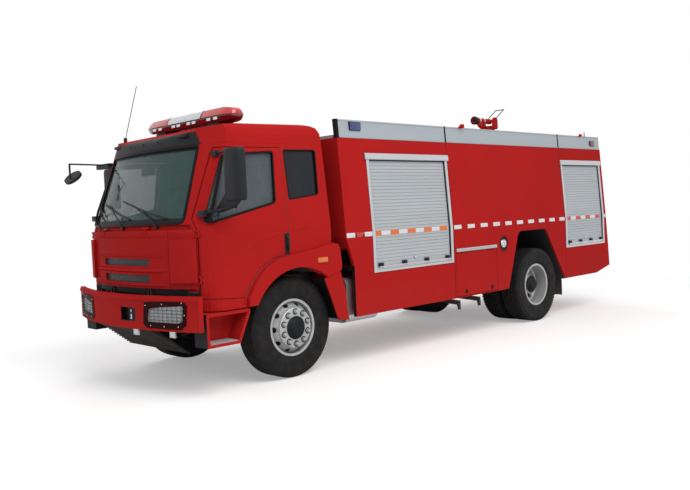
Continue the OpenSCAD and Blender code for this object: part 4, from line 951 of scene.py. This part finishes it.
cowl = Build().sheet(nose, steps(-0.93, 0.93, 30), (1.606, 1.628, 1.648), -0.026, -0.034)
cowl.done("cowl", red_paint, "cab")
SCREEN = [(0.84, 1.65), (0.89, 1.665), (0.905, 1.71), (0.858, 2.4), (0.835, 2.419)]
SCREEN += [(-x, z) for x, z in reversed(SCREEN)]
outer = split(SCREEN, step=0.06)
Build().ring(outer, shrink(outer, 0.022), nose, 0.003, -0.019).done("screen_rubber", seal, "cab", flat=True)
inner = shrink(outer, 0.020)
border = Build().ring(inner, shrink(inner, 0.030), nose, -0.0165, -0.0182)
# the border is wider at the foot of the glass
border.sheet(nose, steps(-0.88, 0.88, 28), (1.668, 1.69, 1.712), -0.0162, -0.0180)
border.done("screen_border", trim, "cab", flat=True)

wiper = Build()
for px, tx, tz in ((-0.62, -0.73, 1.845), (-0.02, -0.46, 1.862), (0.56, 0.02, 1.880)):
    foot = nose(px, 1.632, -0.004)
    wiper.tube([foot, nose(px - 0.05, 1.70, 0.022), nose(tx + 0.10, tz - 0.02, 0.016)], 0.0075, 8, 1)
    wiper.puck(0.016, foot[1] - 0.006, foot[1] + 0.03, (foot[0], 0, foot[2]), "Y")
    blade = [nose(x, z, 0.002) for x, z in zip(steps(px + 0.12, tx - 0.16, 8), steps(1.715, tz + 0.03, 8))]
    wiper.tube(blade, 0.0095, 6)
    wiper.tube([(x, y - 0.012, z) for x, y, z in blade[1:-1]], 0.0045, 6)
wiper.done("wipers", black_plastic, "cab")

# grille mesh behind the slots, and pressed ribs on the front panel

grille = Build()
for zs in ((1.082, 1.171), (1.248, 1.330)):
    grille.sheet(nose, steps(-0.456, 0.456, 14), zs, -0.022, -0.030)
grille.done("grille_mesh", grille_mesh, "front_panel")

RIB_END, RIB_FADE = 0.70, 0.10
RIB = ((-0.5, 0.0), (-0.2, 1.0), (0.25, 0.85), (0.5, 0.0))
ribs = Build()
xs = steps(-RIB_END, RIB_END, 30)
for z, h, out in ((1.548, 0.022, 0.008), (1.352, 0.020, 0.010), (1.212, 0.050, 0.018), (1.066, 0.026, 0.012)):
    ends = [min(1.0, max(0.0, (RIB_END - abs(x)) / RIB_FADE)) ** 0.5 for x in xs]
    ribs.shell([[nose(x, z + k * h, lift * out * e + 0.0006 if lift else -0.002) for x, e in zip(xs, ends)]
                for k, lift in RIB], [[nose(x, z + k * h, -0.003) for x in xs] for k, lift in RIB])
ribs.done("panel_ribs", red_paint, "front_panel")

# dark strips inside the gaps beside the front panel: painted shade in the gaps
gap = Build()
for x in (-0.738, 0.738):
    gap.sheet(nose, (x - 0.0025, x + 0.0025), steps(1.054, 1.602, 6), -0.040, -0.049)
gap.done("panel_gap_shade", seal, "cab", flat=True)

# dark sheet in the gap above the bumper, painted shade, open at the tilt brackets
bumper_gap_shade = Build()
for x0, x1 in ((-1.09, -0.435), (-0.325, 0.325), (0.435, 1.09)):
    bumper_gap_shade.sheet(nose, steps(x0, x1, 10), (0.968, 1.048), -0.058, -0.066)
bumper_gap_shade.done("front_valance", trim, "cab")

# doors and quarters: window rubbers, creases, handles, indicators and mirror faces

WINDOW = [(-1.03, 1.672), (-1.012, 1.655), (-0.98, 1.655), (-0.24, 1.816), (-0.212, 1.842), (-0.175, 2.33),
          (-0.193, 2.35), (-0.77, 2.318), (-0.802, 2.29)]
QUARTER = [(-0.042, 1.866), (-0.022, 1.85), (0.355, 1.893), (0.378, 1.915), (0.4, 2.356), (0.38, 2.374),
           (-0.028, 2.368), (-0.046, 2.35)]
HANDLE_PLATE = ((-0.150, 1.300), (-0.086, 1.300), (-0.084, 1.510), (-0.104, 1.518), (-0.148, 1.500))
HANDLE_BAR = ((0.004, -0.128, 1.490), (0.028, -0.124, 1.472), (0.030, -0.116, 1.380), (0.004, -0.108, 1.335))
HANDLE_LOCK = ((0, 0.002), (0.011, 0.002), (0.011, 0.008), (0, 0.009))
DOOR_CREASE = [(-0.72 + 0.60 * t, 1.325 + 0.20 * (1 - (1 - t) ** 1.7)) for t in steps(0, 1, 20)]
QUARTER_CREASE = [(-0.04 + 0.27 * t, 1.535 + 0.045 * t) for t in steps(0, 1, 12)]
CREASE = ((-0.5, 0.0), (0.12, 1.0), (0.5, 0.0))
MIRROR_X = 1.44
MIRROR_BACK = {LEFT: 0.0, RIGHT: 0.27}       # the right mirror stands further back


def window_rubber(name, outline, width, d0, d1, s, body):
    o = split(outline, step=0.08)
    b = Build().ring(o, shrink(o, width), lambda y, z, d: (s * flank(y, z, d)[0], y, z), d0, d1)
    b.done(name, seal, body, flat=True)


def crease(name, s, line, width, out, body):
    """Raised crease along points (y, z) on the cab side, fading out at its ends."""
    n = len(line)
    ends = [min(1.0, 5.0 * min(i, n - 1 - i) / n) for i in range(n)]
    raised = [[(s * flank(y, z, lift * out * e + 0.0005)[0], y, z + k * width)
               for (y, z), e in zip(line, ends)] for k, lift in CREASE]
    back = [[(s * (flank(y, z)[0] - 0.002), y, z + k * width) for y, z in line] for k, lift in CREASE]
    Build().shell(raised, back).done(name, red_paint, body)


for s, side in SIDES:
    body = "door_" + side
    window_rubber("window_rubber_" + side, WINDOW, 0.018, 0.003, -0.023, s, body)
    crease("door_crease_" + side, s, DOOR_CREASE, 0.046, 0.006, body)
    x = flank(-0.12, 1.4)[0]
    handle = Build().prism(HANDLE_PLATE, at_x, s * (x - 0.004), s * (x + 0.004))
    handle.tube([(s * (x + out), y, z) for out, y, z in HANDLE_BAR], 0.0115, 10, 2)
    handle.lathe(HANDLE_LOCK, (s * x, -0.112, 1.316), "X", 16, s)
    handle.done("door_handle_" + side, black_plastic, body)
    window_rubber("quarter_rubber_" + side, QUARTER, 0.012, 0.002, -0.020, s, "cab")
    crease("quarter_crease_" + side, s, QUARTER_CREASE, 0.036, 0.005, "cab")
    indicator = Build().box(s * 1.243, s * 1.256, 0.250, 0.388, 1.180, 1.235, 0.006)
    indicator.done("indicator_" + side, amber_lens, "cab")
    face = Build().block(s * MIRROR_X, -0.84 + MIRROR_BACK[s], 1.90, 2.27, 0.088, 0.0015)
    face.done("mirror_face_" + side, mirror_face, body, flat=True)

# rounded shells over the door mirrors, flat towards the glass

MIRROR_Y, MIRROR_HALF, MIRROR_FLAT, ROUNDED = -0.895, (0.122, 0.064), 0.052, 0.62
MIRROR_ROWS = ((1.852, 0.55), (1.853, 0.86), (1.862, 0.96), (1.885, 1.0), (2.270, 1.0), (2.305, 0.985),
               (2.327, 0.93), (2.338, 0.82), (2.340, 0.5))
for s, side in SIDES:
    loops, y0 = [], MIRROR_Y + MIRROR_BACK[s]
    for z, k in MIRROR_ROWS:
        turns = [[k * h * math.copysign(abs(t) ** ROUNDED, t) for h, t in zip(MIRROR_HALF, turn)]
                 for turn in round_points(40)]
        loops.append([(s * (MIRROR_X + u), y0 + min(MIRROR_FLAT, v), z) for u, v in turns])
    Build().loft(loops).done("mirror_shell_" + side, black_plastic, "door_" + side)

# outer faces of the guards behind the front wheels
face = Build().prism([(0.345, 1.004), (0.430, 0.796), (0.517, 0.563), (0.545, 0.540), (0.668, 0.536),
                      (0.652, 0.834), (0.575, 1.075)], at_x, 1.2225, 1.2362)
face.mirrored().done("wheel_guard_faces", red_paint, flat=True)

# upright ridge on each corner panel
RIDGE_X, RIDGE_Z0, RIDGE_Z1, RIDGE_OUT = 0.955, 1.10, 1.53, 0.013
RIDGE = ((-0.034, 0.0), (-0.008, 1.0), (0.010, 1.0), (0.024, 0.0))
zs = steps(RIDGE_Z0, RIDGE_Z1, 14)
ends = [min(1.0, 6 * min(z - RIDGE_Z0, RIDGE_Z1 - z) / (RIDGE_Z1 - RIDGE_Z0)) for z in zs]
ridge = Build().shell([[nose(RIDGE_X + dx, z, 0.0006 + RIDGE_OUT * lift * e) for z, e in zip(zs, ends)]
                       for dx, lift in RIDGE],
                      [[nose(RIDGE_X + dx, z, -0.003) for z in zs] for dx, lift in RIDGE])
ridge.mirrored().done("corner_ridges", red_paint, "cab")

# bumper: headlamps with bezel, grid and screws

LAMP_OUT = [(0.513, 0.712), (0.562, 0.674), (1.000, 0.670), (1.058, 0.718), (1.076, 0.902), (1.031, 0.941),
            (0.758, 0.931), (0.536, 0.918)]
LAMP_IN = [(0.562, 0.748), (0.574, 0.731), (0.970, 0.728), (1.022, 0.752), (1.034, 0.880), (1.024, 0.895),
           (0.762, 0.878), (0.584, 0.856)]
SCREWS = ((0.62, 0.698), (0.80, 0.696), (0.97, 0.698), (1.047, 0.81), (1.02, 0.922), (0.78, 0.908),
          (0.556, 0.890))
SCREW = ((0, -0.003), (0.005, -0.003), (0.006, 0), (0.006, 0.006), (0, 0.006))
BEZEL, GRID = -0.007, -0.001                 # how far they stand out from the bumper's face
for s, side in SIDES:
    grid, screws = Build(), Build()
    bezel = Build().ring(*(split([(s * x, z) for x, z in line], 4) for line in (LAMP_OUT, LAMP_IN)),
                         on_bumper, BEZEL, 0.022)
    bezel.done("lamp_bezel_" + side, lamp_frame, flat=True)
    for x in steps(0.605, 1.005, 7):
        grid.tube([on_bumper(s * x, z, GRID) for z in (0.724, 0.890)], 0.0024, 6)
    for z in (0.752, 0.784, 0.816, 0.848):
        grid.tube([on_bumper(s * x, z, GRID) for x in steps(0.568, 1.036, 8)], 0.003, 6)
    grid.done("lamp_grid_" + side, machinery, slot="bare_alloy")
    for x, z in SCREWS:
        screws.lathe(SCREW, on_bumper(s * x, z, BEZEL), "Y", 10)
    screws.done("lamp_screws_" + side, polished)


def rectangle(x0, x1, z0, z1):
    return [(x0, z0), (x1, z0), (x1, z1), (x0, z1)]


# recess for the tow pin, with its plate, lip and latch
hole = rectangle(0.111, 0.293, 0.724, 0.861)
plate = [(0.288, 0.726), (0.384, 0.728), (0.384, 0.859), (0.288, 0.859)]
recess = Build().ring(hole, shrink(hole, 0.004), on_bumper, -0.001, 0.058)
recess.prism(hole, on_bumper, 0.056, 0.060).prism(split(plate, 2), on_bumper, -0.0025, 0.003)
recess.done("tow_recess", trim, flat=True)
lip = Build().prism(rectangle(0.107, 0.135, 0.716, 0.868), on_bumper, -0.0015, 0.006)
lip.done("tow_recess_lip", red_paint, flat=True)
latch = Build()
for zs, r in (((0.748, 0.796), 0.009), ((0.815, 0.842), 0.006)):
    latch.tube([on_bumper(0.338, z, -0.009) for z in zs], r)
latch.done("tow_latch", alloy)

# sloping upper edge of the bumper
BROW = ((0.9815, 0.002), (0.952, -0.011), (0.944, -0.012), (0.925, -0.0005))
xs = steps(-1.19, 1.19, 40)
brow = Build().shell([[on_bumper(x, z, d) for x in xs] for z, d in BROW],
                     [[on_bumper(x, z, 0.004) for x in xs] for z, d in BROW])
brow.done("bumper_brow", red_paint)

# ribbed guard below the bumper with spikes on both ends, and grey tabs on the lower edge
guard = Build().prism([(-1.36, 0.662), (-1.335, 0.662), (-1.19, 0.565), (-0.945, 0.372), (-0.957, 0.355),
                       (-1.205, 0.545), (-1.36, 0.645)], at_x, -0.55, 0.55)
for k in range(9):
    y, z = -1.19 + 0.029 * k, 0.548 - 0.0228 * k
    guard.block(0, y, z - 0.012, z + 0.016, 0.552, 0.006)
    for s in (LEFT, RIGHT):
        guard.tube([(s * 0.545, y, z), (s * 0.612, y + 0.006, z - 0.012)], 0.007, 6)
guard.done("front_guard", guard_black, flat=True)
tabs = Build()
for x in (0.36, 0.87):
    tabs.block(x, on_bumper(x, 0, 0.0235)[1], 0.588, 0.655, 0.045, 0.0115, 0.004)
tabs.done("bumper_tabs", alloy, slot="machinery")

# entry steps: ribbed plate on the floor of each box
tread = Build().box(1.045, 1.218, -1.110, -0.795, 0.5195, 0.526)
for x in steps(1.055, 1.175, 3):
    tread.box(x, x + 0.017, -1.105, -0.800, 0.5255, 0.531, 0.002)
tread.mirrored().done("entry_treads", alloy_tread, flat=True)

# interior

SQUARENESS, SEAM_DEEP, SEAM_WIDE, PULL = 7.0, 0.008, 0.05, 0.03
SEAT_X, BENCH_X, BENCH_HALF = 0.62, 0.49, 0.475


def cushion(name, cx, hx, y0, y1, z0, z1, crown, lean=0.0, panels=3):
    """Padded block with a crowned face, pulled-in sides and sewn channels."""
    bm = bmesh.new()
    bmesh.ops.create_cube(bm, size=2.0)
    bmesh.ops.subdivide_edges(bm, edges=list(bm.edges), cuts=11, use_grid_fill=True)
    hy, hz = (y1 - y0) / 2, (z1 - z0) / 2
    upright = hz > hy
    for v in bm.verts:
        w = v.co / sum(abs(t) ** SQUARENESS for t in v.co) ** (1 / SQUARENESS)
        pull = 1 - PULL * (1 - w.x ** 2) * (1 - w.y ** 2) * (1 - w.z ** 2)
        seam = sum(math.exp(-((w.x + 1 - 2 * k / panels) / SEAM_WIDE) ** 2) for k in range(1, panels))
        top = crown * (1 - w.x ** 2) * (1 - min(1, abs(w.z if upright else w.y)) ** 2) - SEAM_DEEP * seam
        q = Vector((w.x * hx, w.y * hy, w.z * hz)) * pull
        if upright:
            q.y += lean * (w.z + 1) * hz - (top if w.y < 0 else 0)
        elif w.z > 0:
            q.z += top
        v.co = q + Vector((cx, (y0 + y1) / 2, (z0 + z1) / 2))
    Build().from_bmesh(bm).done(name, seat_cloth, "cab")


frames = Build()
for s, side in SIDES:
    seat, bench = s * SEAT_X, s * BENCH_X
    cushion("seat_squab_" + side, seat, 0.25, -0.645, -0.215, 1.425, 1.545, 0.022)
    cushion("seat_back_" + side, seat, 0.24, -0.275, -0.175, 1.545, 2.045, 0.020, 0.11)
    cushion("head_rest_" + side, seat, 0.13, -0.150, -0.078, 2.075, 2.225, 0.010, 0.10, 1)
    cushion("bench_pad_" + side, bench, BENCH_HALF, 0.07, 0.41, 1.445, 1.552, 0.014, 0.0, 2)
    cushion("bench_back_" + side, bench, BENCH_HALF, 0.335, 0.425, 1.565, 1.775, 0.010, 0.0, 2)
    frames.block(seat, -0.425, 1.216, 1.428, 0.19, 0.165, 0.02)
    for x in (seat - 0.05, seat + 0.05):
        frames.tube([(x, -0.128, 2.030), (x, -0.118, 2.085)], 0.007, 8)
frames.box(-0.97, 0.97, 0.075, 0.415, 1.405, 1.447, 0.01)
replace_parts(frames.done("seat_frames", trim, "cab"), "seats")

# instrument hood, tray and vents
dash = Build().box(0.40, 0.84, -1.02, -0.905, 1.635, 1.700, 0.02)
dash.box(-0.80, -0.30, -1.00, -0.905, 1.6385, 1.655, 0.008)
for x in (-0.70, -0.20, 0.16, 0.92):
    dash.block(x, -0.8755, 1.505, 1.560, 0.075, 0.0075, 0.006)
dash.done("dash_details", trim, "cab")

# interior mirror on its stem
y = nose(-0.02, 2.32, -0.05)[1]
inside = Build().box(-0.15, 0.11, y + 0.03, y + 0.055, 2.17, 2.27, 0.012)
inside.tube([(-0.02, y + 0.035, 2.27), (-0.02, nose(0, 2.39, -0.03)[1], 2.39)], 0.008, 8)
inside.done("cab_mirror", black_plastic, "cab")

# rear: lamps, tape on the guard, trim of the shutter

TAIL_Y = 6.668
red, amber = Build(), Build()
tail = Build().box(0.832, 1.168, TAIL_Y - 0.012, TAIL_Y + 0.003, 0.702, 0.828, 0.004)
for x0, x1, part in ((0.845, 0.945, red), (0.952, 1.052, amber), (1.059, 1.157, red)):
    part.box(x0, x1, TAIL_Y + 0.001, TAIL_Y + 0.010, 0.715, 0.815, 0.006)
tail.mirrored().done("tail_base", trim)
red.mirrored().done("tail_red", red_lens)
amber.mirrored().done("tail_amber", amber_lens)
for first, name, mat in ((-0.54, "guard_tape_white", white_tape), (-0.36, "guard_tape_red", red_tape)):
    b = Build()
    for x in pitches(first, 3, 0.36):
        b.box(x, x + 0.179, 6.4695, 6.4725, 0.58, 0.64)
    b.done(name, mat, flat=True)
rear = Build().box(-0.575, 0.575, 6.598, 6.622, 2.235, 2.305, 0.008)
rear.tube([(-0.5, 6.628, 1.155), (0.5, 6.628, 1.155)], 0.011, 12).done("rear_shutter_trim", alloy)
rear = Build()
for x in (-0.45, -0.15, 0.15, 0.45):
    rear.block(x, 6.6165, 1.14, 1.19, 0.022, 0.0195, 0.006)
rear.done("rear_shutter_brackets", black_plastic)

# monitor: rings, loop pipe, mouth, bare handle and bolts

MY, MZ = 5.24, 3.03
MUZZLE = ((0.024, -0.428), (0.046, -0.428), (0.050, -0.420), (0.024, -0.412), (0.024, -0.428))
MOUTH = ((0.034, -0.425), (0.034, -0.436), (0.060, -0.438), (0.066, -0.425), (0.060, -0.375), (0.034, -0.372),
         (0.034, -0.425))
LOOP = ((-0.34, -0.02), (-0.31, -0.055), (-0.25, -0.105), (-0.17, -0.06), (-0.14, -0.02))
BOLTS, BOLT_PITCH_R = 8, 0.092
rings, bolts = Build(), Build()
for y, r in ((-0.19, 0.047), (-0.30, 0.046), (-0.37, 0.043)):
    ring = ((0.030, -0.012), (r, -0.012), (r + 0.004, 0), (r, 0.012), (0.030, 0.012), (0.030, -0.012))
    rings.lathe(ring, (0, MY + y, MZ), "Y", 28)
rings.lathe(MUZZLE, (0, MY, MZ), "Y", 28).done("monitor_rings", polished, "monitor_barrel")
pipe = Build().tube([(0, MY + y, MZ + z) for y, z in LOOP], 0.026, 12, 2)
pipe.done("monitor_loop", red_paint, "monitor_barrel")
Build().lathe(MOUTH, (0, MY, MZ), "Y").done("monitor_mouth", trim, "monitor_barrel")
finish("monitor_barrel", lambda c, n: c.y > MY + 0.02, machinery)
for c, d in round_points(BOLTS):
    bolts.puck(0.012, 2.528, 2.542, (BOLT_PITCH_R * c, MY + BOLT_PITCH_R * d, 0), "Z", 6)
bolts.done("monitor_bolts", polished, flat=True)

# small lamps and posts on the parapets
pegs = Build()
for y, z, w in ((2.855, 2.727, 0.012), (2.905, 2.752, 0.022), (5.955, 2.738, 0.020), (6.078, 2.766, 0.006)):
    pegs.block(1.185, y, 2.700, z, w, w, w / 4)
pegs.mirrored().done("parapet_pegs", red_paint)

# tapered brackets under the tank module
arms = Build()
for y in (3.120, 3.575):
    arms.prism([(0.38, 0.66), (0.44, 0.66), (0.46, 0.45), (0.88, 0.43), (0.88, 0.31), (0.86, 0.31),
                (0.845, 0.375), (0.40, 0.40)], at_y, y - 0.02, y + 0.02)
arms.mirrored().done("tank_brackets", chassis_black, flat=True)

# light bar: two-part lens with a seam, tapered ends, lamps that show through, and feet

BAR_Y, SEAM_Z, MIDDLE = -0.37, 2.748, 0.329
UPPER = ((0.130, 0.0), (0.118, 0.034), (0.080, 0.082), (0.040, 0.0875))
LOWER = ((0.130, 0.0), (0.122, -0.030), (0.095, -0.062), (0.050, -0.067))
END = ((0.331, 1.0), (0.68, 1.0), (0.765, 0.86), (0.812, 0.60), (0.828, 0.36))


def bar_lens(b, half, stations):
    """Lens along x: half is its section as (half width, height from the seam), shrunk at each (x, share)."""
    section = [(-w, h) for w, h in half] + [(w, h) for w, h in reversed(half)]
    return b.loft([[(x, BAR_Y + w * k, SEAM_Z + h * k) for w, h in section] for x, k in stations])


upper, lower, clear, seam, lamps, feet = (Build() for _ in range(6))
bar_lens(upper, UPPER, END).mirrored()
bar_lens(lower, LOWER, END).mirrored()
bar_lens(clear, UPPER, ((-MIDDLE, 1.0), (MIDDLE, 1.0)))
bar_lens(lower, LOWER, ((-MIDDLE, 0.99), (MIDDLE, 0.99)))
bar_lens(seam, ((0.1325, 0.003), (0.1325, -0.003)), tuple((-x, k) for x, k in reversed(END)) + END)
for x in (-END[0][0], END[0][0]):
    bar_lens(seam, [(w + 0.002, h + 0.002) for w, h in UPPER], ((x - 0.005, 1.0), (x + 0.005, 1.0)))
for x in (0.10, 0.20, 0.48, 0.60):
    # lamp reflectors on the front of the lower lens
    lamps.block(x, BAR_Y - 0.122, 2.706, 2.738, 0.035, 0.010, 0.008)
for x in (-0.52, 0.52):
    feet.block(x, BAR_Y, 2.646, 2.684, 0.10, 0.10, 0.010)
    feet.block(x, BAR_Y - 0.105, 2.640, 2.664, 0.06, 0.015, 0.006)
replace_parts(upper.done("lightbar_upper", red_lens, "cab"), "lightbar_red")
lower.done("lightbar_lower", dull_lens, "cab")
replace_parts(clear.done("lightbar_middle", clear_lens, "cab"), "lightbar_clear")
seam.done("lightbar_seam", trim, "cab", flat=True)
lamps.mirrored().done("lightbar_lamps", polished, "cab")
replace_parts(feet.done("lightbar_feet", black_plastic, "cab"), "lightbar_base")
